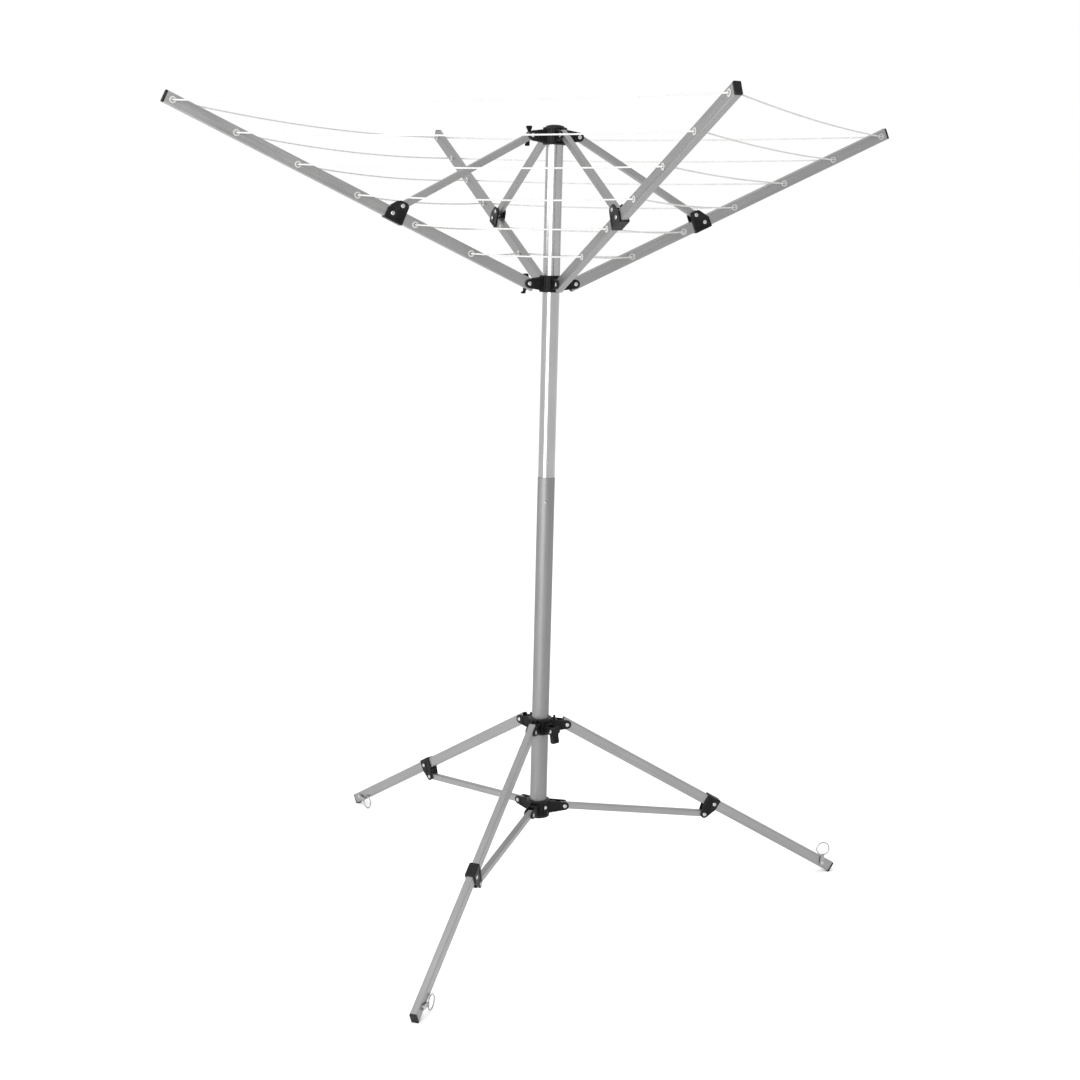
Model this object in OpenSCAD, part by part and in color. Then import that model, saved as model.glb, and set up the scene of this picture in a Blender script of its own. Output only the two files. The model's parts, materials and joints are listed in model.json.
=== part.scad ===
// Free-standing rotary clothesline: four folding arms on a turning head, a two-piece pole
// and a folding tripod. Millimetres, +Z up, origin on the ground under the pole's axis.

/* [Pole] */
// Outer diameter of the lower pole tube
lower_tube_d = 36.5; // [34:0.1:38]
// Outer diameter of the upper pole tube
upper_tube_d = 35.5; // [34:0.1:36]
// Wall of both pole tubes
tube_wall = 1.4; // [1:0.1:2]
// Height of the lower end of the pole
pole_bottom_z = 169; // [160:1:172]
// Height where the upper tube plugs into the lower tube
joint_z = 912; // [908:1:930]
// Length of the swaged end inside the lower tube
spigot_len = 104; // [90:1:120]
// Height of the snap button that locks the two tubes
button_z = 860; // [850:1:865]
// Direction that the snap button faces
button_az = 248; // [240:1:256]

/* [Arms] */
// Height of the sliding hub that the arms turn on
hub_pivot_z = 1314; // [1300:1:1330]
// Height of the strut pivots on the crown
crown_pivot_z = 1609; // [1600:1:1630]
// Distance of the arm and strut pivots from the pole's axis
pivot_r = 51; // [50:0.5:54]
// Distance of the arm bracket's pivot from the pole's axis
bracket_pivot_r = 321; // [310:1:330]
// Rise of the open arms above level
arm_tilt = 24.66; // [24:0.01:25]
// Length of an arm from its pivot to the end of its tube
arm_len = 802; // [800:1:810]
// Height of the arm tube's section
arm_h = 23.5; // [21:0.5:24]
// Width of the arm tube's section
arm_w = 14.5; // [13:0.5:15]
// Height of the strut tube's section
strut_h = 14.5; // [13:0.5:15]
// Width of the strut tube's section
strut_w = 12.8; // [11:0.1:13]
// Wall of the arm, strut, leg and brace tubes
bar_wall = 1.2; // [1:0.1:1.5]

/* [Line] */
// Diameter of the washing line
line_d = 3; // [2.5:0.1:3]
// Distance along the arm from its pivot to the outermost eyelet
eyelet_far = 784.5; // [780:0.5:786]
// Distance along the arm from its pivot to the innermost eyelet
eyelet_near = 139; // [135:0.5:142]
// Diameter of an eyelet's flange
eyelet_d = 13.5; // [12:0.5:16]
// Sag of a span as a share of its length
line_sag = 0.013; // [0.005:0.001:0.02]

/* [Tripod] */
// Height of the sliding hub that the legs turn on
leg_hub_z = 371; // [366:0.5:376]
// Height of the fixed hub that the braces turn on
base_hub_z = 186; // [184:0.5:188]
// Distance of the leg and brace pivots from the pole's axis
leg_pivot_r = 58; // [57:0.5:60]
// Distance of the leg bracket's pivot from the pole's axis
brace_end_r = 377; // [374:1:380]
// Height of the leg bracket's pivot
brace_end_z = 152; // [150:1:154]
// Distance of a leg's foot end from the pole's axis
foot_r = 682; // [674:1:690]
// Height of the middle of a leg's foot end
foot_z = 11; // [10:0.5:12]
// Height of the leg tube's section
leg_h = 22.5; // [21:0.5:23]
// Height of the brace tube's section
brace_h = 13.5; // [12:0.5:14]

/* [Hidden] */
$fn = 64;

// Directions of the arms a to d and of the legs 1 to 3 about the pole
ARM_AZ = [180, 270, 0, 90];
LEG_AZ = [230, 350, 110];
// Lie of each peg ring, as the angle from level and outwards, and the side of its leg it is on
RING_LIE = [188, 90, 188];
RING_SIDE = [1, -1, 1];

aluminium = "silver";
plastic = "#202020";
steel = "#c8c8c8";

// Pins, bores and gaps
pin_d = 5;
bore_d = 5.2;
gap = 0.3;
ear_t = 3.2;
hub_h = 34;
hub_wall = 6.5;
head_d = 8.4;
head_h = 1.4;

// The struts and the arms' inner lengths are equal, so the fold keeps the hub on the pole
half_rise = (crown_pivot_z - hub_pivot_z) / 2;
strut_run = bracket_pivot_r - pivot_r;
strut_len = norm([strut_run, half_rise]);
strut_tilt = atan2(half_rise, strut_run);
bracket_x = strut_run * cos(arm_tilt) + half_rise * sin(arm_tilt);
bracket_z = half_rise * cos(arm_tilt) - strut_run * sin(arm_tilt);
arm_rivet_x = bracket_x + 13;

// Tripod triangle
leg_tilt = atan2(leg_hub_z - foot_z, foot_r - leg_pivot_r);
leg_len = norm([leg_hub_z - foot_z, foot_r - leg_pivot_r]);
brace_run = brace_end_r - leg_pivot_r;
brace_tilt = atan2(base_hub_z - brace_end_z, brace_run);
brace_len = norm([brace_run, base_hub_z - brace_end_z]);
drop = leg_hub_z - brace_end_z;
leg_bracket_x = brace_run * cos(leg_tilt) + drop * sin(leg_tilt);
leg_bracket_z = brace_run * sin(leg_tilt) - drop * cos(leg_tilt);
leg_rivet_x = leg_bracket_x + 8;
ring_rivet_x = leg_len - 24;

// Height of the dome on the crown
cap_h = 6;

// Radii worked out from the tubes
lower_r = lower_tube_d / 2;
upper_r = upper_tube_d / 2;
spigot_r = lower_r - tube_wall - 0.2;
spigot_bore_r = spigot_r - tube_wall;
tube_top_z = crown_pivot_z + 3;
// Underside of the crown's roof above its pivots, a gap over the bush
crown_roof = 5.3;
eyelet_pitch = (eyelet_far - eyelet_near) / 5;

// Snap button
button_r = 3.5;
button_proud = 2;
leaf_x = 12.2;
leaf_w = 10;
leaf_t = 1;
// Bend of the clip below the button, and where the back leaf bears on the bore
bend_drop = 34;
leaf_back = sqrt(spigot_bore_r * spigot_bore_r - leaf_w * leaf_w / 4);

// Clamp on the leg hub
clamp_az = 290;
clamp_r = 45;
clamp_drop = 3;
lever_w = 15;

// Peg rings
ring_r = 14.5;
wire_d = 2.6;
ring_reach = 34;
// The ring's plane, clear of the leg's side, and the strap's thickness
ring_y = arm_w / 2 + 1.5 + gap + wire_d / 2;
strap_t = 1.2;

module at_arm(i) {
    rotate([0, 0, ARM_AZ[i]]) translate([pivot_r, 0, hub_pivot_z]) rotate([0, -arm_tilt, 0])
        children();
}

module at_strut(i) {
    rotate([0, 0, ARM_AZ[i]]) translate([pivot_r, 0, crown_pivot_z]) rotate([0, strut_tilt, 0])
        children();
}

module at_leg(i) {
    rotate([0, 0, LEG_AZ[i]]) translate([leg_pivot_r, 0, leg_hub_z]) rotate([0, leg_tilt, 0])
        children();
}

module at_brace(i) {
    rotate([0, 0, LEG_AZ[i]]) translate([leg_pivot_r, 0, base_hub_z]) rotate([0, brace_tilt, 0])
        children();
}

// A cylinder across a bar, along Y
module cross(x, z, d, w) {
    translate([x, 0, z]) rotate([90, 0, 0]) cylinder(d = d, h = w, center = true);
}

// A rivet across a bar, with a low head outside each end of its shank
module rivet(x, z, grip) {
    cross(x, z, pin_d, grip);
    for (side = [-1, 1]) translate([x, side * grip / 2, z]) rotate([-side * 90, 0, 0])
        cylinder(d1 = head_d, d2 = head_d * 0.62, h = head_h);
}

// Section of a bar with broken corners
module bar_section(w, h, c) {
    polygon([[c - w / 2, -h / 2], [w / 2 - c, -h / 2], [w / 2, c - h / 2], [w / 2, h / 2 - c],
        [w / 2 - c, h / 2], [c - w / 2, h / 2], [-w / 2, h / 2 - c], [-w / 2, c - h / 2]]);
}

module solid_bar(x0, x1, h, w, c) {
    translate([x0, 0, 0]) rotate([90, 0, 90]) linear_extrude(x1 - x0) bar_section(w, h, c);
}

module box_tube(x0, x1, h, w) {
    difference() {
        solid_bar(x0, x1, h, w, 1.6);
        solid_bar(x0 - 1, x1 + 1, h - 2 * bar_wall, w - 2 * bar_wall, 0.8);
    }
}

module round_tube(r, wall, z0, z1) {
    translate([0, 0, z0]) difference() {
        cylinder(r = r, h = z1 - z0);
        translate([0, 0, -1]) cylinder(r = r - wall, h = z1 - z0 + 2);
    }
}

// Two cheek plates in the XZ plane with the given outline, either side of a slot
module cheeks(slot) {
    for (side = [-1, 1]) translate([0, side * (slot + ear_t) / 2, 0]) rotate([90, 0, 0])
        linear_extrude(ear_t, center = true) children();
}

// Ears that reach out from a collar to a pivot, with a web between their roots
module clevis(reach, slot, web_r) {
    root = lower_r + 0.5;
    cheeks(slot) {
        polygon([[root, -hub_h / 2 + 3], [reach, -9], [reach, 9], [root, hub_h / 2 - 3]]);
        translate([reach, 0]) circle(9);
    }
    translate([root, -slot / 2 - 0.5, -11]) cube([web_r - root, slot + 1, 22]);
}

// A hub around the pole with a pair of ears in each direction
module clevis_hub(directions, reach, slot, web_r, bore_r) {
    difference() {
        union() {
            cylinder(r = bore_r + hub_wall, h = hub_h, center = true);
            for (a = directions) rotate([0, 0, a]) clevis(reach, slot, web_r);
        }
        cylinder(r = bore_r, h = hub_h + 2, center = true);
        for (a = directions) rotate([0, 0, a]) cross(reach, 0, bore_d, 60);
    }
}

// Pole

module lower_tube() {
    color(aluminium) difference() {
        round_tube(lower_r, tube_wall, pole_bottom_z, joint_z);
        rotate([0, 0, button_az]) translate([0, 0, button_z]) rotate([0, 90, 0])
            cylinder(r = button_r + 0.15, h = 30);
    }
}

module upper_tube() {
    color(aluminium) difference() {
        rotate_extrude() polygon([[spigot_bore_r, joint_z - spigot_len],
            [spigot_r, joint_z - spigot_len], [spigot_r, joint_z], [upper_r, joint_z],
            [upper_r, tube_top_z], [upper_r - tube_wall, tube_top_z],
            [upper_r - tube_wall, joint_z + 3], [spigot_bore_r, joint_z + 3]]);
        rotate([0, 0, button_az]) translate([0, 0, button_z]) rotate([0, 90, 0])
            cylinder(r = button_r + 0.15, h = 30);
    }
}

// Plug in the top of the pole, with the spindle that the crown turns on
module top_bush() {
    color(plastic) translate([0, 0, tube_top_z]) {
        translate([0, 0, -26]) cylinder(r = upper_r - tube_wall, h = 26);
        cylinder(r = upper_r - 0.3, h = 2);
        cylinder(r = 5, h = 10);
    }
}

// Back leaf of the spring clip, with the bend at its foot
module snap_clip() {
    color(steel) rotate([0, 0, button_az]) translate([0, leaf_w / 2, button_z])
        rotate([90, 0, 0]) linear_extrude(leaf_w)
            polygon([[4, -bend_drop], [-4, -bend_drop], [-leaf_back, 6], [-leaf_back, 14],
                [leaf_t - leaf_back, 14], [leaf_t - leaf_back, 6],
                [-3.4, leaf_t - bend_drop], [4, leaf_t - bend_drop]]);
}

// Button on the clip's front leaf
module snap_button() {
    color(steel) rotate([0, 0, button_az]) translate([0, 0, button_z]) {
        translate([leaf_x, 0, 0]) rotate([0, 90, 0])
            cylinder(r = button_r, h = lower_r + button_proud - leaf_x - 1);
        translate([lower_r + button_proud - 1, 0, 0]) rotate([0, 90, 0])
            cylinder(r1 = button_r, r2 = button_r - 1, h = 1);
        translate([0, leaf_w / 2, 0]) rotate([90, 0, 0]) linear_extrude(leaf_w)
            polygon([[leaf_x, 8], [leaf_x + leaf_t, 8], [leaf_x + leaf_t, -6],
                [5.5, leaf_t + 0.4 - bend_drop], [4.5, leaf_t + 0.4 - bend_drop], [leaf_x, -5]]);
    }
}

// Turning head

// Moulded stops above and below the outer ear of one clevis
module crown_stops() {
    rotate([0, 0, ARM_AZ[0]]) translate([pivot_r, -strut_w / 2 - gap - ear_t + 0.4, 0])
        rotate([90, 0, 0]) linear_extrude(3.8) difference() {
            union() {
                hull() for (p = [[-3, 17.2], [4.8, 16.8], [0, 7.5]]) translate(p) circle(2.4);
                hull() for (p = [[1.6, -18.4], [7, -18.6], [1.6, -7.5]]) translate(p) circle(2.2);
            }
            circle(d = head_d + 1);
        }
}

module crown_hub() {
    color(plastic) translate([0, 0, crown_pivot_z]) {
        clevis_hub(ARM_AZ, pivot_r, strut_w + 2 * gap, 33, upper_r + gap);
        crown_stops();
        translate([0, 0, crown_roof]) difference() {
            cylinder(r = upper_r + gap + 1, h = hub_h / 2 - crown_roof);
            translate([0, 0, -1]) cylinder(r = 5.1, h = hub_h);
        }
    }
}

module crown_cap() {
    color(plastic) translate([0, 0, crown_pivot_z + hub_h / 2]) intersection() {
        cylinder(r = 20, h = cap_h);
        translate([0, 0, cap_h - 34]) sphere(34);
    }
}

module crown_rivets() {
    color(steel) translate([0, 0, crown_pivot_z])
        for (a = ARM_AZ) rotate([0, 0, a]) rivet(pivot_r, 0, strut_w + 2 * gap + 2 * ear_t);
}

module strut(i) {
    color(aluminium) at_strut(i) difference() {
        box_tube(-9, strut_len + 5.5, strut_h, strut_w);
        cross(0, 0, bore_d, 40);
        cross(strut_len, 0, bore_d, 40);
    }
}

// Arms

module arm(i) {
    color(aluminium) at_arm(i) difference() {
        box_tube(-12, arm_len, arm_h, arm_w);
        cross(0, 0, bore_d, 40);
        cross(arm_rivet_x, 0, bore_d, 40);
        for (k = [0:5]) cross(eyelet_near + k * eyelet_pitch, 0, eyelet_d - 6, 40);
    }
}

// Saddle around the arm, with two ears up to the strut's pivot
module arm_bracket(i) {
    color(plastic) at_arm(i) difference() {
        union() {
            cheeks(arm_w) {
                polygon([[bracket_x - 14, -arm_h / 2 - 2.5], [bracket_x + 26, -arm_h / 2 - 2.5],
                    [bracket_x + 26, arm_h / 2 - 3], [bracket_x + 13, bracket_z],
                    [bracket_x - 13, bracket_z]]);
                hull() for (side = [-1, 1])
                    translate([bracket_x + side * 4.5, bracket_z]) circle(8.5);
            }
            translate([bracket_x - 14, -arm_w / 2 - 1, -arm_h / 2 - 2.5])
                cube([40, arm_w + 2, 2.5]);
        }
        cross(bracket_x, bracket_z, bore_d, 40);
        cross(arm_rivet_x, 0, bore_d, 40);
    }
}

module arm_rivets(i) {
    grip = arm_w + 2 * ear_t;
    color(steel) at_arm(i) {
        rivet(bracket_x, bracket_z, grip);
        rivet(arm_rivet_x, 0, grip);
    }
}

// Plug in a bar's open end, with a flange flush with the bar's faces
module end_plug(x, h, w, flange) {
    solid_bar(x - 9, x + 0.5, h - 2 * bar_wall - 0.1, w - 2 * bar_wall - 0.1, 0.8);
    solid_bar(x, x + flange, h, w, 1.6);
}

module arm_cap(i) {
    color(plastic) at_arm(i) end_plug(arm_len, arm_h, arm_w, 3);
}

// Six flanged bushes in the arm's sides, which the line runs through
module eyelets(i) {
    color("white") at_arm(i) for (k = [0:5]) difference() {
        union() {
            cross(eyelet_near + k * eyelet_pitch, 0, eyelet_d - 6, arm_w);
            for (side = [-1, 1]) translate([eyelet_near + k * eyelet_pitch, 0, 0])
                rotate([-side * 90, 0, 0]) translate([0, 0, arm_w / 2])
                    cylinder(d1 = eyelet_d, d2 = eyelet_d - 2, h = 1.2);
        }
        cross(eyelet_near + k * eyelet_pitch, 0, line_d + 2.2, arm_w + 8);
    }
}

module arm_hub() {
    color(plastic) translate([0, 0, hub_pivot_z])
        clevis_hub(ARM_AZ, pivot_r, arm_w + 2 * gap, 33, upper_r + gap);
}

// The first rivet is longer, because the latch turns on it
module arm_hub_rivets() {
    grip = arm_w + 2 * gap + 2 * ear_t;
    color(steel) translate([0, 0, hub_pivot_z]) {
        for (a = [ARM_AZ[1], ARM_AZ[2], ARM_AZ[3]]) rotate([0, 0, a]) rivet(pivot_r, 0, grip);
        rotate([0, 0, ARM_AZ[0]]) translate([0, -2.4, 0]) rivet(pivot_r, 0, grip + 4.8);
    }
}

// Rocking latch outside the ear of arm a
module hub_latch() {
    inner = arm_w / 2 + gap + ear_t + gap;
    color(plastic) translate([0, 0, hub_pivot_z]) rotate([0, 0, ARM_AZ[0]]) difference() {
        translate([pivot_r, -inner, 0]) rotate([90, 0, 0]) linear_extrude(4.2) {
            circle(6.5);
            polygon([[4, 3], [7.4, 16], [6, 20], [-3.6, 20], [-5.4, 17], [-4, 3], [-4, -3], [0, -18],
                [1.6, -21], [9, -21], [10, -18], [4, -3]]);
        }
        cross(pivot_r, 0, bore_d, 60);
    }
}

// Washing line: six closed loops, each through its eyelet on every arm

function eyelet_r(k) = pivot_r + (eyelet_near + k * eyelet_pitch) * cos(arm_tilt);
function eyelet_z(k) = hub_pivot_z + (eyelet_near + k * eyelet_pitch) * sin(arm_tilt);
function turned(p, a) = [p[0] * cos(a) - p[1] * sin(a), p[0] * sin(a) + p[1] * cos(a), p[2]];

span_steps = 8;
// Half the straight stretch of line inside an eyelet
eyelet_half = 9;
// Points of one quarter of a loop: across the eyelet, then down and up the span
function quarter(k, a) =
    let (from = [eyelet_r(k), eyelet_half, 0], to = turned([eyelet_r(k), -eyelet_half, 0], 90),
        sag = line_sag * norm(to - from))
    concat([turned([eyelet_r(k), -eyelet_half, eyelet_z(k)], a)],
        [for (s = [0:span_steps - 1]) let (t = s / span_steps)
            turned(from + t * (to - from) + [0, 0, eyelet_z(k) - 4 * sag * t * (1 - t)], a)]);
function loop_points(k) = [for (a = [0, 90, 180, 270]) each quarter(k, a)];

// A ring of eight points square to the loop's direction at point j
function ring_at(points, j) =
    let (n = len(points), ahead = points[(j + 1) % n], behind = points[(j + n - 1) % n],
        along = (ahead - behind) / norm(ahead - behind),
        side = cross([0, 0, 1], along) / norm(cross([0, 0, 1], along)),
        up = cross(along, side))
    [for (m = [0:7]) points[j] + line_d / 2 * (cos(45 * m) * side + sin(45 * m) * up)];

module line_loop(k) {
    points = loop_points(k);
    n = len(points);
    polyhedron([for (j = [0:n - 1]) each ring_at(points, j)],
        [for (j = [0:n - 1], m = [0:7]) let (next = (j + 1) % n, over = (m + 1) % 8)
            [8 * j + m, 8 * next + m, 8 * next + over, 8 * j + over]]);
}

module clothesline() {
    color("white") for (k = [0:5]) line_loop(k);
}

// Tripod

// Split lugs of the clamp, with the lever's pivot between them
module clamp_lugs() {
    for (side = [-1, 1]) translate([lower_r + 4, side * (lever_w / 2 + gap + 1.6) - 1.6, -11])
        cube([clamp_r - lower_r - 4, 3.2, 16]);
    for (side = [-1, 1]) translate([clamp_r, side * (lever_w / 2 + gap + 1.6), -clamp_drop])
        rotate([90, 0, 0]) cylinder(r = 8, h = 3.2, center = true);
    translate([lower_r + 4, -lever_w / 2 - 1, -11]) cube([9, lever_w + 2, 20]);
}

module leg_hub() {
    color(plastic) translate([0, 0, leg_hub_z]) difference() {
        union() {
            clevis_hub(LEG_AZ, leg_pivot_r, arm_w + 2 * gap, 38, lower_r + gap);
            for (a = LEG_AZ) rotate([0, 0, a]) translate([lower_r + 12.5, 0, 8])
                cylinder(r = 2.6, h = 12.5);
            rotate([0, 0, clamp_az]) difference() {
                clamp_lugs();
                cross(clamp_r, -clamp_drop, bore_d, 60);
                cylinder(r = lower_r + 3, h = 60, center = true);
            }
        }
        rotate([0, 0, button_az]) translate([0, -4.5, -hub_h]) cube([lower_r + 3.2, 9, 2 * hub_h]);
    }
}

module leg_hub_rivets() {
    color(steel) translate([0, 0, leg_hub_z]) {
        for (a = LEG_AZ) rotate([0, 0, a]) rivet(leg_pivot_r, 0, arm_w + 2 * gap + 2 * ear_t);
        rotate([0, 0, clamp_az]) rivet(clamp_r, -clamp_drop, lever_w + 2 * gap + 6.4);
    }
}

module clamp_lever() {
    color(plastic) translate([0, 0, leg_hub_z]) rotate([0, 0, clamp_az]) difference() {
        translate([clamp_r, 0, -clamp_drop]) rotate([90, 0, 0])
            linear_extrude(lever_w, center = true) {
                circle(7);
                polygon([[-6.6, -2], [-4.5, -14], [-3, -25], [0, -28], [8, -27], [10.5, -23],
                    [8.5, -12], [6.6, -2]]);
            }
        cross(clamp_r, -clamp_drop, bore_d, 60);
    }
}

module base_hub() {
    color(plastic) translate([0, 0, base_hub_z]) {
        difference() {
            clevis_hub(LEG_AZ, leg_pivot_r, strut_w + 2 * gap, 38, lower_r);
            rotate([0, 0, clamp_az]) translate([0, 0, 3]) rotate([0, 90, 0]) {
                cylinder(d = bore_d, h = 60);
                translate([0, 0, lower_r + hub_wall - 0.2]) cylinder(d = head_d + 0.4, h = 5);
            }
        }
        translate([0, 0, -hub_h / 2 - 3]) cylinder(r = lower_r + hub_wall, h = 3);
        translate([0, 0, -hub_h / 2 - 1]) cylinder(r = lower_r - tube_wall - 0.3, h = 7);
    }
}

module base_rivets() {
    color(steel) translate([0, 0, base_hub_z]) {
        for (a = LEG_AZ) rotate([0, 0, a]) rivet(leg_pivot_r, 0, strut_w + 2 * gap + 2 * ear_t);
        rotate([0, 0, clamp_az]) translate([lower_r, 0, 3]) rotate([0, 90, 0]) {
            cylinder(d = pin_d, h = hub_wall);
            translate([0, 0, hub_wall - 0.2]) cylinder(d1 = head_d, d2 = head_d * 0.62, h = head_h);
        }
    }
}

module leg(i) {
    color(aluminium) at_leg(i) difference() {
        box_tube(-12, leg_len, leg_h, arm_w);
        cross(0, 0, bore_d, 40);
        cross(leg_rivet_x, 0, bore_d, 40);
        cross(ring_rivet_x, 0, bore_d, 40);
    }
}

// Saddle around the leg, with two ears down to the brace's pivot
module leg_bracket(i) {
    color(plastic) at_leg(i) difference() {
        union() {
            cheeks(arm_w) {
                polygon([[leg_bracket_x - 15, leg_h / 2 + 2.5], [leg_bracket_x + 17, leg_h / 2 + 2.5],
                    [leg_bracket_x + 17, -leg_h / 2 - 1], [leg_bracket_x + 8.5, leg_bracket_z],
                    [leg_bracket_x - 8.5, leg_bracket_z], [leg_bracket_x - 15, -leg_h / 2 + 2]]);
                translate([leg_bracket_x, leg_bracket_z]) circle(8.5);
            }
            translate([leg_bracket_x - 15, -arm_w / 2 - 1, leg_h / 2]) cube([32, arm_w + 2, 2.5]);
        }
        cross(leg_bracket_x, leg_bracket_z, bore_d, 40);
        cross(leg_rivet_x, 0, bore_d, 40);
    }
}

// Long rivet through the leg, with a spacer on one side for the peg ring's strap
module ring_rivet(side) {
    outer = ring_y + strap_t / 2 + gap;
    translate([0, side * (outer - arm_w / 2) / 2, 0]) rivet(ring_rivet_x, 0, outer + arm_w / 2);
    translate([ring_rivet_x, side * arm_w / 2, 0]) rotate([-side * 90, 0, 0])
        cylinder(d = 9, h = ring_y - strap_t / 2 - gap - arm_w / 2);
}

module leg_rivets(i) {
    grip = arm_w + 2 * ear_t;
    color(steel) at_leg(i) {
        rivet(leg_bracket_x, leg_bracket_z, grip);
        rivet(leg_rivet_x, 0, grip);
        ring_rivet(RING_SIDE[i]);
    }
}

module brace(i) {
    color(aluminium) at_brace(i) difference() {
        box_tube(-8, brace_len + 8, brace_h, strut_w);
        cross(0, 0, bore_d, 40);
        cross(brace_len, 0, bore_d, 40);
    }
}

// Plug in the foot end with a toe under the leg, cut flat on the ground
module foot_cap(i) {
    color(plastic) difference() {
        at_leg(i) difference() {
            union() {
                end_plug(leg_len, leg_h, arm_w, 4);
                translate([leg_len - 8, -arm_w / 2, -leg_h / 2 - 5]) cube([12, arm_w, 6]);
            }
            translate([leg_len - 10, -arm_w / 2 - 1, -leg_h / 2]) cube([10, arm_w + 2, bar_wall + 0.05]);
        }
        translate([-1000, -1000, -100]) cube([2000, 2000, 100]);
    }
}

// Wire ring for a ground peg, on a strap that turns on a rivet in the leg's side
module peg_ring(i) {
    color(steel) at_leg(i) translate([ring_rivet_x, RING_SIDE[i] * ring_y, 0])
        rotate([0, -leg_tilt - RING_LIE[i], 0]) {
            translate([ring_reach, 0, 0]) rotate([90, 0, 0]) rotate_extrude()
                translate([ring_r, 0]) circle(d = wire_d, $fn = 32);
            difference() {
                union() {
                    cross(0, 0, 11, strap_t);
                    translate([0, -strap_t / 2, -4]) cube([ring_reach - ring_r, strap_t, 8]);
                }
                cross(0, 0, bore_d, 10);
            }
        }
}

lower_tube();
upper_tube();
top_bush();
snap_clip();
snap_button();
crown_hub();
crown_cap();
crown_rivets();
strut(0);  // strut_a
strut(1);  // strut_b
strut(2);  // strut_c
strut(3);  // strut_d
arm(0);  // arm_a
arm(1);  // arm_b
arm(2);  // arm_c
arm(3);  // arm_d
arm_bracket(0);  // arm_bracket_a
arm_bracket(1);  // arm_bracket_b
arm_bracket(2);  // arm_bracket_c
arm_bracket(3);  // arm_bracket_d
arm_rivets(0);  // arm_rivets_a
arm_rivets(1);  // arm_rivets_b
arm_rivets(2);  // arm_rivets_c
arm_rivets(3);  // arm_rivets_d
arm_cap(0);  // arm_cap_a
arm_cap(1);  // arm_cap_b
arm_cap(2);  // arm_cap_c
arm_cap(3);  // arm_cap_d
eyelets(0);  // eyelets_a
eyelets(1);  // eyelets_b
eyelets(2);  // eyelets_c
eyelets(3);  // eyelets_d
arm_hub();
arm_hub_rivets();
hub_latch();
clothesline();
leg_hub();
leg_hub_rivets();
clamp_lever();
base_hub();
base_rivets();
leg(0);  // leg_1
leg(1);  // leg_2
leg(2);  // leg_3
leg_bracket(0);  // leg_bracket_1
leg_bracket(1);  // leg_bracket_2
leg_bracket(2);  // leg_bracket_3
leg_rivets(0);  // leg_rivets_1
leg_rivets(1);  // leg_rivets_2
leg_rivets(2);  // leg_rivets_3
brace(0);  // brace_1
brace(1);  // brace_2
brace(2);  // brace_3
foot_cap(0);  // foot_cap_1
foot_cap(1);  // foot_cap_2
foot_cap(2);  // foot_cap_3
peg_ring(0);  // peg_ring_1
peg_ring(1);  // peg_ring_2
peg_ring(2);  // peg_ring_3
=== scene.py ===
"""The looks of a free-standing rotary clothesline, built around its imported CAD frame."""
import json
import math

import bmesh
import bpy
from mathutils import Matrix, Vector


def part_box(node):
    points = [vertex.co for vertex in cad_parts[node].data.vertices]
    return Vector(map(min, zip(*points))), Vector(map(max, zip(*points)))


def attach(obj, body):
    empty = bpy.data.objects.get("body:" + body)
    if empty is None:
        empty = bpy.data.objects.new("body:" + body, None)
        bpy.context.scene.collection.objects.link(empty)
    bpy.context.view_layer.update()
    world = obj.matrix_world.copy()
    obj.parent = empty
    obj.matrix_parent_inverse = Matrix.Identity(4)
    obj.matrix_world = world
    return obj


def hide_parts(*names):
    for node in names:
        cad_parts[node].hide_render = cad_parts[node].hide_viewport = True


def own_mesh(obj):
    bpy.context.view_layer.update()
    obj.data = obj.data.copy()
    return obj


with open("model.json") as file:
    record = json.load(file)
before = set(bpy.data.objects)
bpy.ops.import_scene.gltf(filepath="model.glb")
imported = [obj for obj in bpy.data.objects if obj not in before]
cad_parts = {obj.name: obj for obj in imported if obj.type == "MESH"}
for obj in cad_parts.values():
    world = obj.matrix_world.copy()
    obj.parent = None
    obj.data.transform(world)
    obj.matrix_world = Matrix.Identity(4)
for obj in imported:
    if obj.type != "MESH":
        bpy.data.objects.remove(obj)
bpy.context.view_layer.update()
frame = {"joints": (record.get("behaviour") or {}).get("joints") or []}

MM = 0.001
RAD = math.radians
POS = {j["name"]: Vector(j["pos_m"]) / MM for j in frame["joints"] if j.get("pos_m")}
RANGE = {j["name"]: j.get("range_deg") for j in frame["joints"]}

# ---------------------------------------------------------------- sizes in millimetres
# As in part.scad, but for the arms: their tubes end 3.5 mm sooner, under plugs with thicker flanges.
LOWER_R, UPPER_R, WALL = 18.25, 17.75, 1.4
ARM_H, ARM_W = 23.5, 14.5
STRUT_H, STRUT_W = 14.5, 12.8
LEG_H, BRACE_H = 22.5, 13.5
BAR_WALL = 1.2
GAP, EAR, PIN, BORE = 0.3, 3.2, 5.0, 5.2
BRACKET_GRIP = ARM_W + 2 * EAR
HUB_H, HUB_WALL = 34.0, 6.5
ARM_WEB_R, LEG_WEB_R = 33, 38
HEAD_D, HEAD_H = 8.4, 1.4
EAR_POCKET, CHEEK_POCKET = 1.0, 0.7
ARM_TILT = RAD(24.66)
ARM_LEN, ARM_PLUG_FLANGE, LEG_PLUG_FLANGE = 798.5, 4.5, 4.0
EYE_FAR, EYE_NEAR = 784.5, 139.0
EYE_COUNT, EYE_D = 6, 13.5
LINE_D, LINE_SIDES, LINE_SAG, EYE_HALF = 3.0, 12, 0.013, 9.0
JOINT_Z, SPIGOT_LEN, BUTTON_Z, BUTTON_AZ, DIMPLE_RISE = 912.0, 104.0, 860.0, RAD(248), 33
CLAMP_AZ, CLAMP_R, CLAMP_DROP, LEVER_W = RAD(290), 45.0, 3.0, 15.0
FOOT_R, FOOT_Z = 682.0, 11.0
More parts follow.
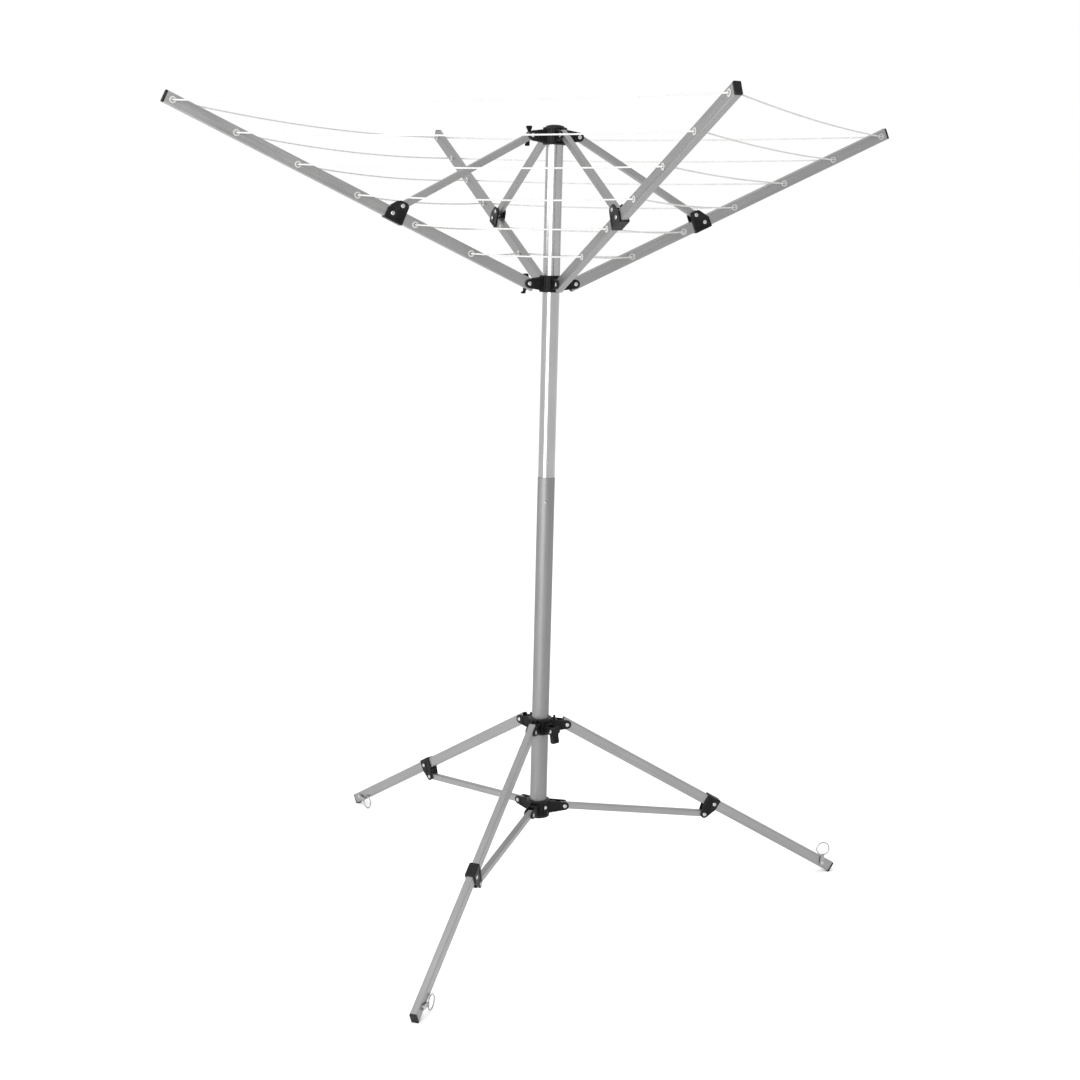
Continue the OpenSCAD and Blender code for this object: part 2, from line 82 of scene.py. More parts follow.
RING_R, WIRE_D, RING_REACH, STRAP_T = 14.5, 2.6, 34.0, 1.2
RING_LIE = [RAD(188), RAD(90), RAD(188)]
RING_SIDE = [1, -1, 1]

ARMS, LEGS = "abcd", "123"


def azimuth(p):
    return math.atan2(p.y, p.x)


ARM_AZ = [azimuth(POS[f"strut_{a}_fold"]) for a in ARMS]
LEG_AZ = [azimuth(POS[f"brace_{n}_fold"]) for n in LEGS]
CROWN_Z = POS["strut_a_fold"].z
PIVOT_R = POS["strut_a_fold"].xy.length
ARM_HUB_Z = POS["arm_hub_turn"].z
BRACKET_R, BRACKET_Z = POS["arm_a_turn"].xy.length, POS["arm_a_turn"].z
BASE_Z = POS["brace_1_fold"].z
LEG_PIVOT_R = POS["brace_1_fold"].xy.length
BRACE_END_R, BRACE_END_Z = POS["leg_1_turn"].xy.length, POS["leg_1_turn"].z
LEG_HUB_Z = POS["clamp_lever_swing"].z + CLAMP_DROP
POLE_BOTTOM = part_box("lower_tube")[0].z / MM
POLE_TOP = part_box("upper_tube")[1].z / MM

HALF_RISE = BRACKET_Z - ARM_HUB_Z
STRUT_RUN = BRACKET_R - PIVOT_R
STRUT_LEN = math.hypot(STRUT_RUN, HALF_RISE)
STRUT_TILT = math.atan2(HALF_RISE, STRUT_RUN)
# The arm bracket's pivot in the arm's own frame, and the rivet that holds the bracket on the arm
AB_X = STRUT_RUN * math.cos(ARM_TILT) + HALF_RISE * math.sin(ARM_TILT)
AB_Z = HALF_RISE * math.cos(ARM_TILT) - STRUT_RUN * math.sin(ARM_TILT)
ARM_RIVET_X = AB_X + 13
LEG_TILT = math.atan2(LEG_HUB_Z - FOOT_Z, FOOT_R - LEG_PIVOT_R)
LEG_LEN = math.hypot(LEG_HUB_Z - FOOT_Z, FOOT_R - LEG_PIVOT_R)
BRACE_RUN = BRACE_END_R - LEG_PIVOT_R
BRACE_TILT = math.atan2(BASE_Z - BRACE_END_Z, BRACE_RUN)
BRACE_LEN = math.hypot(BRACE_RUN, BASE_Z - BRACE_END_Z)
DROP = LEG_HUB_Z - BRACE_END_Z
LB_X = BRACE_RUN * math.cos(LEG_TILT) + DROP * math.sin(LEG_TILT)
LB_Z = BRACE_RUN * math.sin(LEG_TILT) - DROP * math.cos(LEG_TILT)
LEG_RIVET_X = LB_X + 8
RING_RIVET_X = LEG_LEN - 24
RING_Y = ARM_W / 2 + 1.5 + GAP + WIRE_D / 2
ARM_SLOT, STRUT_SLOT = ARM_W + 2 * GAP, STRUT_W + 2 * GAP


def turn(angle, axis):
    return Matrix.Rotation(angle, 4, axis)


def move(x, y, z):
    return Matrix.Translation((x, y, z))


def at_bar(az, radius, height, tilt):
    """Frame of a bar from its pivot on the pole: X outwards along the bar, Y across, Z up."""
    return turn(az, "Z") @ move(radius, 0, height) @ turn(tilt, "Y")


AT_ARM = [at_bar(a, PIVOT_R, ARM_HUB_Z, -ARM_TILT) for a in ARM_AZ]
AT_STRUT = [at_bar(a, PIVOT_R, CROWN_Z, STRUT_TILT) for a in ARM_AZ]
AT_LEG = [at_bar(a, LEG_PIVOT_R, LEG_HUB_Z, LEG_TILT) for a in LEG_AZ]
AT_BRACE = [at_bar(a, LEG_PIVOT_R, BASE_Z, BRACE_TILT) for a in LEG_AZ]

# ---------------------------------------------------------------- camera
CAM_AZ, CAM_DISTANCE, CAM_Z = RAD(-21.648), 3.3897, 1.4107
CAM_PITCH, CAM_ROLL, CAM_YAW, CAM_LENS = RAD(-10.588), RAD(1.409), RAD(-0.1706), 54.255


def make_camera():
    back = Vector((math.sin(CAM_AZ), -math.cos(CAM_AZ), 0))
    position = back * CAM_DISTANCE + Vector((0, 0, CAM_Z))
    ahead = -back
    right = ahead.cross(Vector((0, 0, 1)))
    up = right.cross(ahead)
    ahead, right = (math.cos(CAM_YAW) * ahead + math.sin(CAM_YAW) * right,
                    math.cos(CAM_YAW) * right - math.sin(CAM_YAW) * ahead)
    ahead, up = (math.cos(CAM_PITCH) * ahead + math.sin(CAM_PITCH) * up,
                 math.cos(CAM_PITCH) * up - math.sin(CAM_PITCH) * ahead)
    right, up = (math.cos(CAM_ROLL) * right + math.sin(CAM_ROLL) * up,
                 math.cos(CAM_ROLL) * up - math.sin(CAM_ROLL) * right)
    data = bpy.data.cameras.new("camera")
    data.lens = CAM_LENS
    data.sensor_width = 36
    data.clip_start, data.clip_end = 0.05, 200
    camera = bpy.data.objects.new("camera", data)
    bpy.context.scene.collection.objects.link(camera)
    camera.matrix_world = Matrix((
        (right.x, up.x, -ahead.x, position.x),
        (right.y, up.y, -ahead.y, position.y),
        (right.z, up.z, -ahead.z, position.z),
        (0, 0, 0, 1)))
    bpy.context.scene.camera = camera


make_camera()

# ---------------------------------------------------------------- mesh tools, in millimetres
def loft(rings, closed=False, capped=True):
    """A tube of quads through rings of points, closed into a loop or capped at both ends."""
    bm = bmesh.new()
    loops = [[bm.verts.new(p) for p in ring] for ring in rings]
    n = len(loops[0])
    pairs = list(zip(loops, loops[1:])) + ([(loops[-1], loops[0])] if closed else [])
    for a, b in pairs:
        for i in range(n):
            j = (i + 1) % n
            bm.faces.new((a[i], a[j], b[j], b[i]))
    if capped and not closed:
        bm.faces.new(loops[0][::-1])
        bm.faces.new(loops[-1])
    bmesh.ops.recalc_face_normals(bm, faces=bm.faces)
    return bm


def lathe(profile, steps=64, hollow=False):
    """A turned solid about Z. A hollow profile is a closed outline off the axis; any other starts and ends on it."""
    bm = bmesh.new()
    wires = []
    for s in range(steps):
        c, d = math.cos(2 * math.pi * s / steps), math.sin(2 * math.pi * s / steps)
        wires.append([(r * c, r * d, z) for r, z in profile])
    if hollow:
        loops = [[bm.verts.new(p) for p in w] for w in wires]
        n = len(profile)
        for s in range(steps):
            a, b = loops[s], loops[(s + 1) % steps]
            for i in range(n):
                j = (i + 1) % n
                bm.faces.new((a[i], b[i], b[j], a[j]))
    else:
        first, last = bm.verts.new((0, 0, profile[0][1])), bm.verts.new((0, 0, profile[-1][1]))
        loops = [[bm.verts.new(p) for p in w[1:-1]] for w in wires]
        n = len(profile) - 2
        for s in range(steps):
            a, b = loops[s], loops[(s + 1) % steps]
            bm.faces.new((first, b[0], a[0]))
            for i in range(n - 1):
                bm.faces.new((a[i], b[i], b[i + 1], a[i + 1]))
            bm.faces.new((a[-1], b[-1], last))
    bmesh.ops.recalc_face_normals(bm, faces=bm.faces)
    return bm


def plate(outline, y0, y1, bevel=0.6, segments=3):
    """A plate with this outline in XZ, from y0 to y1, with rounded edges."""
    bm = bmesh.new()
    front = [bm.verts.new((x, y0, z)) for x, z in outline]
    back = [bm.verts.new((x, y1, z)) for x, z in outline]
    n = len(outline)
    bm.faces.new(front)
    bm.faces.new(back[::-1])
    for i in range(n):
        j = (i + 1) % n
        bm.faces.new((front[j], front[i], back[i], back[j]))
    bmesh.ops.recalc_face_normals(bm, faces=bm.faces)
    if bevel:
        rim = [e for e in bm.edges if abs(e.verts[0].co.y - e.verts[1].co.y) < 1e-6]
        bmesh.ops.bevel(bm, geom=rim, offset=bevel, segments=segments, profile=0.5, affect="EDGES",
                        clamp_overlap=True)
    return bm


def arc(x, z, r, start, end, steps=8):
    """Points on a circle from start to end, in degrees."""
    return [(x + r * math.cos(RAD(start + (end - start) * i / steps)),
             z + r * math.sin(RAD(start + (end - start) * i / steps))) for i in range(steps + 1)]


def hull(circles, steps=32):
    """The convex outline round circles given as (x, z, radius)."""
    points = sorted({(round(x + r * math.cos(2 * math.pi * i / steps), 5),
                      round(z + r * math.sin(2 * math.pi * i / steps), 5))
                     for x, z, r in circles for i in range(steps)})

    def chain(seq):
        out = []
        for p in seq:
            while len(out) > 1 and ((out[-1][0] - out[-2][0]) * (p[1] - out[-2][1])
                                    - (out[-1][1] - out[-2][1]) * (p[0] - out[-2][0])) <= 1e-7:
                out.pop()
            out.append(p)
        return out[:-1]

    return chain(points) + chain(points[::-1])


def rounded_box(x0, x1, z0, z1, r=1.0):
    """A rectangle's outline in XZ with rounded corners."""
    return (arc(x1 - r, z1 - r, r, 0, 90, 4) + arc(x0 + r, z1 - r, r, 90, 180, 4)
            + arc(x0 + r, z0 + r, r, 180, 270, 4) + arc(x1 - r, z0 + r, r, 270, 360, 4))


def block(x0, x1, y0, y1, z0, z1, r=1.0, bevel=0.6):
    return plate(rounded_box(x0, x1, z0, z1, r), y0, y1, bevel)


def pin(x, z, d, y0, y1, steps=32):
    """A plain round bar along Y, for cutting holes and for shanks."""
    return plate(arc(x, z, d / 2, 0, 360 - 360 / steps, steps - 1), y0, y1, 0)


def moved(bm, matrix):
    bm.transform(matrix)
    return bm


def merged(*parts):
    """Several closed shapes in one mesh."""
    out = bmesh.new()
    for bm in parts:
        mesh = bpy.data.meshes.new("part")
        bm.to_mesh(mesh)
        out.from_mesh(mesh)
        bpy.data.meshes.remove(mesh)
    return out


def carved(parts, cuts=()):
    """One closed solid: the parts joined, less the cuts."""
    objects = []
    for bm in list(parts) + list(cuts):
        mesh = bpy.data.meshes.new("tool")
        bm.to_mesh(mesh)
        obj = bpy.data.objects.new("tool", mesh)
        bpy.context.scene.collection.objects.link(obj)
        objects.append(obj)
    base = objects[0]
    for i, obj in enumerate(objects[1:], 1):
        modifier = base.modifiers.new("carve", "BOOLEAN")
        modifier.operation = "UNION" if i < len(parts) else "DIFFERENCE"
        modifier.solver = "EXACT"
        modifier.object = obj
    graph = bpy.context.evaluated_depsgraph_get()
    out = bmesh.new()
    mesh = bpy.data.meshes.new_from_object(base.evaluated_get(graph))
    out.from_mesh(mesh)
    bpy.data.meshes.remove(mesh)
    for obj in objects:
        mesh = obj.data
        bpy.data.objects.remove(obj)
        bpy.data.meshes.remove(mesh)
    bmesh.ops.remove_doubles(out, verts=out.verts, dist=1e-4)
    bmesh.ops.dissolve_degenerate(out, edges=out.edges, dist=1e-4)
    return out


SHARP_ANGLE, NORMAL_WEIGHT = RAD(32), 60


def piece(name, bm, place, body, material, nodes=()):
    """A finished piece: its mesh in metres, with its own coordinates kept for the material, and its body and CAD
    nodes."""
    mesh = bpy.data.meshes.new(name)
    bm.to_mesh(mesh)
    bm.free()
    local = mesh.attributes.new("local", "FLOAT_VECTOR", "POINT")
    flat = [c for v in mesh.vertices for c in v.co]
    local.data.foreach_set("vector", flat)
    mesh.transform(Matrix.Scale(MM, 4) @ place)
    mesh.polygons.foreach_set("use_smooth", [True] * len(mesh.polygons))
    mesh.set_sharp_from_angle(angle=SHARP_ANGLE)
    mesh.materials.append(material)
    obj = bpy.data.objects.new(name, mesh)
    bpy.context.scene.collection.objects.link(obj)
    modifier = obj.modifiers.new("weighted_normals", "WEIGHTED_NORMAL")
    modifier.keep_sharp = True
    modifier.weight = NORMAL_WEIGHT
    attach(obj, body)
    if nodes:
        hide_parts(*nodes)
    return obj


# ---------------------------------------------------------------- materials
def material(name):
    mat = bpy.data.materials.new(name)
    mat.use_nodes = True
    tree = mat.node_tree
    shader = tree.nodes["Principled BSDF"]
    return mat, tree, shader


def node(tree, kind, **inputs):
    made = tree.nodes.new(kind)
    for key, value in inputs.items():
        if key in made.inputs:
            made.inputs[key].default_value = value
        else:
            setattr(made, key, value)
    return made


def stretched(tree, scale):
    """The piece's own coordinates in millimetres, scaled along each of its axes."""
    attribute = node(tree, "ShaderNodeAttribute", attribute_name="local")
    mapping = node(tree, "ShaderNodeMapping", Scale=scale)
    tree.links.new(attribute.outputs["Vector"], mapping.inputs["Vector"])
    return mapping.outputs["Vector"]


def noise(tree, scale, detail=3.0, roughness=0.5):
    made = node(tree, "ShaderNodeTexNoise", Scale=1.0, Detail=detail, Roughness=roughness)
    tree.links.new(stretched(tree, scale), made.inputs["Vector"])
    return made.outputs["Fac"]


def ramp(tree, source, stops):
    """Maps a factor through stops of (position, grey or colour)."""
    made = tree.nodes.new("ShaderNodeValToRGB")
    elements = made.color_ramp.elements
    for i, (position, colour) in enumerate(stops):
        element = elements[i] if i < 2 else elements.new(position)
        element.position = position
        colour = colour if isinstance(colour, tuple) else (colour, colour, colour)
        element.color = (*colour, 1)
    tree.links.new(source, made.inputs["Fac"])
    return made.outputs["Color"]


def mixed(tree, factor, a, b, blend="MIX"):
    """A colour mix; factor, a and b are sockets or plain values."""
    made = tree.nodes.new("ShaderNodeMix")
    made.data_type = "RGBA"
    made.blend_type = blend
    for socket, value in ((made.inputs[0], factor), (made.inputs[6], a), (made.inputs[7], b)):
        if isinstance(value, bpy.types.NodeSocket):
            tree.links.new(value, socket)
        elif socket.type == "RGBA":
            socket.default_value = (*value, 1)
        else:
            socket.default_value = value
    return made.outputs[2]


def bump(tree, shader, source, distance):
    made = node(tree, "ShaderNodeBump", Distance=distance, Strength=1.0)
    tree.links.new(source, made.inputs["Height"])
    if shader.inputs["Normal"].links:
        tree.links.new(shader.inputs["Normal"].links[0].from_socket, made.inputs["Normal"])
    tree.links.new(made.outputs["Normal"], shader.inputs["Normal"])


def drawn_metal(name, axis, dark, light, rough_low, rough_high, grain=0.00002):
    """Extruded aluminium: lines drawn along one axis, a fine satin grain, faint clouding and a few rub marks."""
    mat, tree, shader = material(name)
    shader.inputs["Metallic"].default_value = 1.0

    def along(fine, long):
        scale = [fine, fine, fine]
        scale[axis] = long
        return tuple(scale)

    lines = noise(tree, along(1.6, 0.004), 4.0, 0.6)
    satin = noise(tree, (2.4, 2.4, 2.4), 2.0)
    clouds = noise(tree, along(0.05, 0.012), 3.0)
    rubs = noise(tree, along(0.5, 0.03), 2.0)
    tone = ramp(tree, lines, [(0.3, dark), (0.72, light)])
    cloudy, rubbed = tuple(c * 0.86 for c in dark), tuple(min(1, c * 1.25) for c in light)
    tone = mixed(tree, ramp(tree, clouds, [(0.35, 0.0), (0.7, 0.35)]), tone, cloudy)
    tone = mixed(tree, ramp(tree, rubs, [(0.66, 0.0), (0.75, 0.3)]), tone, rubbed)
    speckle = ramp(tree, satin, [(0.3, 0.9), (0.7, 1.0)])
    tree.links.new(mixed(tree, 1.0, tone, speckle, "MULTIPLY"), shader.inputs["Base Color"])
    rough = mixed(tree, 0.5, ramp(tree, lines, [(0.25, rough_low), (0.75, rough_high)]),
                  ramp(tree, clouds, [(0.3, rough_high), (0.7, rough_low)]))
    tree.links.new(rough, shader.inputs["Roughness"])
    bump(tree, shader, lines, grain)
    bump(tree, shader, satin, grain * 0.6)
    return mat


def moulded(name, dark, light, rough_low, rough_high, grain=0.00004, wear_and_highlight_colour=(0.05, 0.05, 0.052), gloss=0.2):
    """Moulded plastic: a fine eroded grain, clouded sheen, and convex edges painted paler, partly as rub wear and
    partly as a painted edge highlight.
    """
    mat, tree, shader = material(name)
    shader.inputs["IOR"].default_value = 1.49
    shader.inputs["Specular IOR Level"].default_value = gloss
    fine = noise(tree, (1.9, 1.9, 1.9), 2.0, 0.55)
    clouds = noise(tree, (0.06, 0.06, 0.06), 4.0)
    scuffs = noise(tree, (0.35, 0.35, 0.35), 5.0, 0.7)
    geometry = tree.nodes.new("ShaderNodeNewGeometry")
    # Convex edges found by pointiness, in scuffed patches, get a paler colour: partly rub wear, partly a painted
    # edge highlight.
    edges = ramp(tree, geometry.outputs["Pointiness"], [(0.52, 0.0), (0.6, 1.0)])
    wear_and_edge_highlight = mixed(tree, 1.0, edges, ramp(tree, scuffs, [(0.42, 0.0), (0.62, 0.75)]), "MULTIPLY")
    tone = ramp(tree, clouds, [(0.3, dark), (0.7, light)])
    tree.links.new(mixed(tree, wear_and_edge_highlight, tone, wear_and_highlight_colour), shader.inputs["Base Color"])
    rough = mixed(tree, 0.4, ramp(tree, clouds, [(0.3, rough_low), (0.7, rough_high)]),
                  ramp(tree, scuffs, [(0.35, rough_low), (0.65, rough_high)]))
    tree.links.new(rough, shader.inputs["Roughness"])
    bump(tree, shader, fine, grain)
    return mat


def bright_metal(name, dark, light, rough_low, rough_high):
    """Set or plated steel: soft clouding, tiny pits and scratches."""
    mat, tree, shader = material(name)
    shader.inputs["Metallic"].default_value = 1.0
    clouds = noise(tree, (0.4, 0.4, 0.4), 3.0)
    scratches = noise(tree, (2.5, 0.4, 2.5), 3.0, 0.6)
    tree.links.new(ramp(tree, clouds, [(0.3, dark), (0.7, light)]), shader.inputs["Base Color"])
    tree.links.new(ramp(tree, scratches, [(0.3, rough_low), (0.7, rough_high)]), shader.inputs["Roughness"])
    bump(tree, shader, scratches, 0.00002)
    return mat


def cord_plastic():
    """White coated line: a soft sheen, a faint braid showing through the coating, and a little grime."""
    mat, tree, shader = material("line_coating")
    shader.inputs["IOR"].default_value = 1.5
    braid = node(tree, "ShaderNodeTexWave", Scale=0.32, Distortion=0.6, Detail=1.0)
    braid.bands_direction = "DIAGONAL"
    tree.links.new(stretched(tree, (1.0, 1.0, 1.0)), braid.inputs["Vector"])
    dirt = noise(tree, (0.05, 0.05, 0.05), 4.0)
    tone = ramp(tree, dirt, [(0.35, (0.54, 0.54, 0.53)), (0.7, (0.47, 0.47, 0.46))])
    tree.links.new(tone, shader.inputs["Base Color"])
    tree.links.new(ramp(tree, dirt, [(0.3, 0.36), (0.7, 0.5)]), shader.inputs["Roughness"])
    bump(tree, shader, braid.outputs["Fac"], 0.00012)
    return mat


SATIN = drawn_metal("satin_bar", 0, (0.272, 0.272, 0.271), (0.362, 0.362, 0.36), 0.36, 0.52)
POLE_SATIN = drawn_metal("satin_pole", 2, (0.215, 0.215, 0.214), (0.30, 0.30, 0.299), 0.4, 0.56)
POLE_BRIGHT = drawn_metal("bright_pole", 2, (0.38, 0.38, 0.379), (0.48, 0.48, 0.479), 0.12, 0.2, grain=0.00001)
# The mouldings' paler edge colour is partly rub wear and partly a painted edge highlight.
BLACK = moulded("black_moulding", (0.004, 0.004, 0.0042), (0.0075, 0.0075, 0.0078), 0.34, 0.5, gloss=0.12)
CAP_BLACK = moulded("black_cap", (0.005, 0.005, 0.0052), (0.009, 0.009, 0.0093), 0.4, 0.56, gloss=0.14)
WHITE = moulded("white_moulding", (0.34, 0.34, 0.336), (0.42, 0.42, 0.415), 0.32, 0.44, grain=0.00002,
                wear_and_highlight_colour=(0.48, 0.48, 0.47), gloss=0.3)
RIVET = bright_metal("rivet_metal", (0.38, 0.38, 0.378), (0.5, 0.5, 0.495), 0.2, 0.36)
WIRE = bright_metal("wire_metal", (0.26, 0.26, 0.258), (0.36, 0.36, 0.356), 0.26, 0.42)
LINE = cord_plastic()

# ---------------------------------------------------------------- shared shapes
def section(w, h, r, steps=5):
    """A rounded rectangle in YZ."""
    points = []
    for cy, cz, start in ((w / 2 - r, h / 2 - r, 0), (r - w / 2, h / 2 - r, 90),
                          (r - w / 2, r - h / 2, 180), (w / 2 - r, r - h / 2, 270)):
        points += arc(cy, cz, r, start, start + 90, steps)
    return points


def box_tube(x0, x1, h, w, holes=(), lip=0.35):
    """A hollow rectangular bar along X with rounded corners and eased ends. Holes are (x, diameter)."""
    rings = []
    inner_w, inner_h = w - 2 * BAR_WALL, h - 2 * BAR_WALL

    def ring(x, inset, inside):
        if inside:
            return [(x, y, z) for y, z in section(inner_w + 2 * inset, inner_h + 2 * inset, 0.9 + inset)]
        return [(x, y, z) for y, z in section(w - 2 * inset, h - 2 * inset, 2.0 - inset)]

    length = x1 - x0
    for x, inset in ((x0, lip), (x0 + lip, 0), (x0 + length / 3, 0), (x0 + 2 * length / 3, 0),
                     (x1 - lip, 0), (x1, lip)):
        rings.append(ring(x, inset, False))
    for x, inset in ((x1, lip * 0.5), (x1 - lip, 0), (x0 + lip, 0), (x0, lip * 0.5)):
        rings.append(ring(x, inset, True))
    tube = loft(rings, closed=True)
    if holes:
        return carved([tube], [pin(x, 0, d, -w, w) for x, d in holes])
    return tube


def rivet(x, z, grip, shift=0.0):
    """A set rivet across a bar: a shank, a flange and a low dome at both ends."""
    half = grip / 2
    head, r = HEAD_H, HEAD_D / 2
    dome = [(r * 0.99, 0.25), (r * 0.93, 0.55), (r * 0.8, 0.86), (r * 0.6, 1.12), (r * 0.35, 1.3),
            (r * 0.15, 1.38)]
    profile = [(0, -half - head)]
    profile += [(a, -half - b) for a, b in reversed(dome)] + [(r, -half), (PIN / 2, -half)]
    profile += [(PIN / 2, half), (r, half)] + [(a, half + b) for a, b in dome] + [(0, half + head)]
    return moved(lathe(profile, 32), move(x, shift, z) @ turn(RAD(90), "X"))


def collar(bore, r, half, band=3.2, relief=0.9):
    """A hub's ring with a rolled band at its top and bottom."""
    e = 0.8
    return lathe([
        (bore, -half + e), (bore + e, -half), (r - e, -half), (r - 0.25, -half + 0.25), (r, -half + e),
        (r, -half + band), (r - relief * 0.6, -half + band + 0.5), (r - relief, -half + band + 1.3),
        (r - relief, half - band - 1.3), (r - relief * 0.6, half - band - 0.5), (r, half - band),
        (r, half - e), (r - 0.25, half - 0.25), (r - e, half), (bore + e, half), (bore, half - e)], 72, True)


def ear_parts(reach, slot, web_r, az):
    """A clevis: two ears and the web between their roots. Returns its solids, then its pockets and bores to cut."""
    root = LOWER_R + 0.5
    outline = [(root, -HUB_H / 2 + 3)] + arc(reach, 0, 9, -82, 82, 14) + [(root, HUB_H / 2 - 3)]
    inset = reach - 12.5
    pocket = hull([(root + 8.5, -7.6, 1.5), (inset, -5.0, 1.5), (inset, 5.0, 1.5), (root + 8.5, 7.6, 1.5)], 16)
    place = turn(az, "Z")
    solids, cuts = [], []
    for side in (-1, 1):
        inner, outer = side * slot / 2, side * (slot / 2 + EAR)
        solids.append(moved(plate(outline, min(inner, outer), max(inner, outer), 0.7), place))
        deep, clear = outer - side * EAR_POCKET, outer + side * 2
        cuts.append(moved(plate(pocket, min(deep, clear), max(deep, clear), 0), place))
    # The web between the ears' roots
    solids.append(moved(block(root, web_r, -slot / 2 - 0.5, slot / 2 + 0.5, -11, 11, 1.5, 0.4), place))
    cuts.append(moved(pin(reach, 0, BORE, -slot, slot), place))
    return solids, cuts


def clevis_hub(azimuths, reach, slot, web_r, bore, extra=(), extra_cuts=()):
    r = bore + HUB_WALL
    solids, cuts = [collar(bore, r, HUB_H / 2)], []
    for az in azimuths:
        more, less = ear_parts(reach, slot, web_r, az)
        solids += more
        cuts += less
    # Upright ribs on the collar, half way between neighbouring ears
    ordered = sorted(a % (2 * math.pi) for a in azimuths)
    for i, a in enumerate(ordered):
        b = ordered[(i + 1) % len(ordered)] + (2 * math.pi if i + 1 == len(ordered) else 0)
        middle = (a + b) / 2
        for offset in (-0.14, 0.14):
            rib = block(r - 2.6, r + 0.3, -1.1, 1.1, -HUB_H / 2 + 2.2, HUB_H / 2 - 2.2, 0.6, 0.4)
            solids.append(moved(rib, turn(middle + offset, "Z")))
    return carved(solids + list(extra), cuts + list(extra_cuts))


# ---------------------------------------------------------------- pole
def button_hole():
    return moved(pin(0, 0, 7.3, -30, 0), move(0, 0, BUTTON_Z) @ turn(BUTTON_AZ + RAD(90), "Z"))


def tube_profile(r_out, r_in, z0, z1):
    e = 0.4
    return [(r_in, z0 + e), (r_in + e, z0), (r_out - e, z0), (r_out, z0 + e),
            (r_out, z1 - e), (r_out - e, z1), (r_in + e, z1), (r_in, z1 - e)]


lower = carved([lathe(tube_profile(LOWER_R, LOWER_R - WALL, POLE_BOTTOM, JOINT_Z), 96, True)], [button_hole()])
piece("pole_lower_tube", lower, Matrix(), "base", POLE_SATIN, ["lower_tube"])

SPIGOT_R = LOWER_R - WALL - 0.2
SPIGOT_BORE = SPIGOT_R - WALL
upper_profile = [
    (SPIGOT_BORE, JOINT_Z - SPIGOT_LEN + 0.4), (SPIGOT_BORE + 0.4, JOINT_Z - SPIGOT_LEN),
    (SPIGOT_R - 0.6, JOINT_Z - SPIGOT_LEN), (SPIGOT_R, JOINT_Z - SPIGOT_LEN + 0.9), (SPIGOT_R, JOINT_Z + 0.05),
    (UPPER_R - 0.35, JOINT_Z + 0.05), (UPPER_R, JOINT_Z + 0.6), (UPPER_R, POLE_TOP - 0.4),
    (UPPER_R - 0.4, POLE_TOP), (UPPER_R - WALL + 0.4, POLE_TOP), (UPPER_R - WALL, POLE_TOP - 0.4),
    (UPPER_R - WALL, JOINT_Z + 4), (SPIGOT_BORE, JOINT_Z + 2)]
dimple = moved(lathe([(0, -2.6), (1.2, -2.3), (2.2, -1.4), (2.6, 0), (2.2, 1.4), (1.2, 2.3), (0, 2.6)], 24),
               turn(BUTTON_AZ, "Z") @ move(UPPER_R + 1.3, 0, JOINT_Z + DIMPLE_RISE))
upper = carved([lathe(upper_profile, 96, True)], [button_hole(), dimple])
piece("pole_upper_tube", upper, Matrix(), "base", POLE_BRIGHT, ["upper_tube"])

bush = lathe([(0, -26), (UPPER_R - WALL - 0.8, -26), (UPPER_R - WALL - 0.05, -25.2),
              (UPPER_R - WALL - 0.05, 0.05), (UPPER_R - 0.5, 0.05), (UPPER_R - 0.3, 0.4), (UPPER_R - 0.3, 1.6),
              (UPPER_R - 0.7, 2), (6, 2), (5, 3), (5, 9.2), (4.2, 10), (0, 10)], 64)
piece("pole_top_bush", bush, move(0, 0, POLE_TOP), "base", BLACK, ["top_bush"])

AT_BUTTON = turn(BUTTON_AZ, "Z") @ move(0, 0, BUTTON_Z)
LEAF_X, LEAF_W, LEAF_T, BEND = 12.2, 10.0, 1.0, 34.0
LEAF_BACK = math.sqrt(SPIGOT_BORE ** 2 - LEAF_W ** 2 / 4)
clip = plate([(4, -BEND), (-4, -BEND), (-LEAF_BACK, 6), (-LEAF_BACK, 14), (LEAF_T - LEAF_BACK, 14),
              (LEAF_T - LEAF_BACK, 6), (-3.4, LEAF_T - BEND), (4, LEAF_T - BEND)],
             -LEAF_W / 2, LEAF_W / 2, 0.2, 2)
piece("snap_clip_back_leaf", clip, AT_BUTTON, "base", RIVET, ["snap_clip"])
tip = LOWER_R + 2.0
button = moved(lathe([(0, LEAF_X), (3.5, LEAF_X), (3.5, tip - 1.3), (3.3, tip - 0.7), (2.7, tip - 0.25),
                      (1.6, tip - 0.05), (0, tip)], 40), turn(RAD(90), "Y"))
leaf = plate([(LEAF_X, 8), (LEAF_X + LEAF_T, 8), (LEAF_X + LEAF_T, -6), (5.5, LEAF_T + 0.4 - BEND),
              (4.5, LEAF_T + 0.4 - BEND), (LEAF_X, -5)], -LEAF_W / 2, LEAF_W / 2, 0.2, 2)
piece("snap_button_spring", carved([leaf, button]), AT_BUTTON, "snap_button", WIRE,
      ["snap_button"])

# ---------------------------------------------------------------- crown
LATCH_INNER = ARM_W / 2 + GAP + EAR + GAP
LATCH_T = 4.2
# How much longer the rivet is that the latch turns on
LATCH_REACH = 4.8


def latch_shape(inner, thick):
    """The rocking latch: a round boss with a ridged thumb tip above and a hooked toe below."""
    outlines = (([(0, 0, 6.5), (-2.9, 17.4, 2.5), (4.8, 17.2, 2.6)], 0.7),
                ([(0, 0, 5.5), (3.4, -18.4, 2.4)], 0.7),
                ([(2.4, -18.6, 2.4), (7.6, -18.7, 2.3)], 0.6))
    solids = [plate(hull(circles, 28), -inner - thick, -inner, bevel) for circles, bevel in outlines]
    solids += [block(-4.2, 6.0, -inner - thick - 0.5, -inner - thick + 0.6, z, z + 1.1, 0.4, 0.3)
               for z in (12.4, 14.8, 17.2)]
    return solids


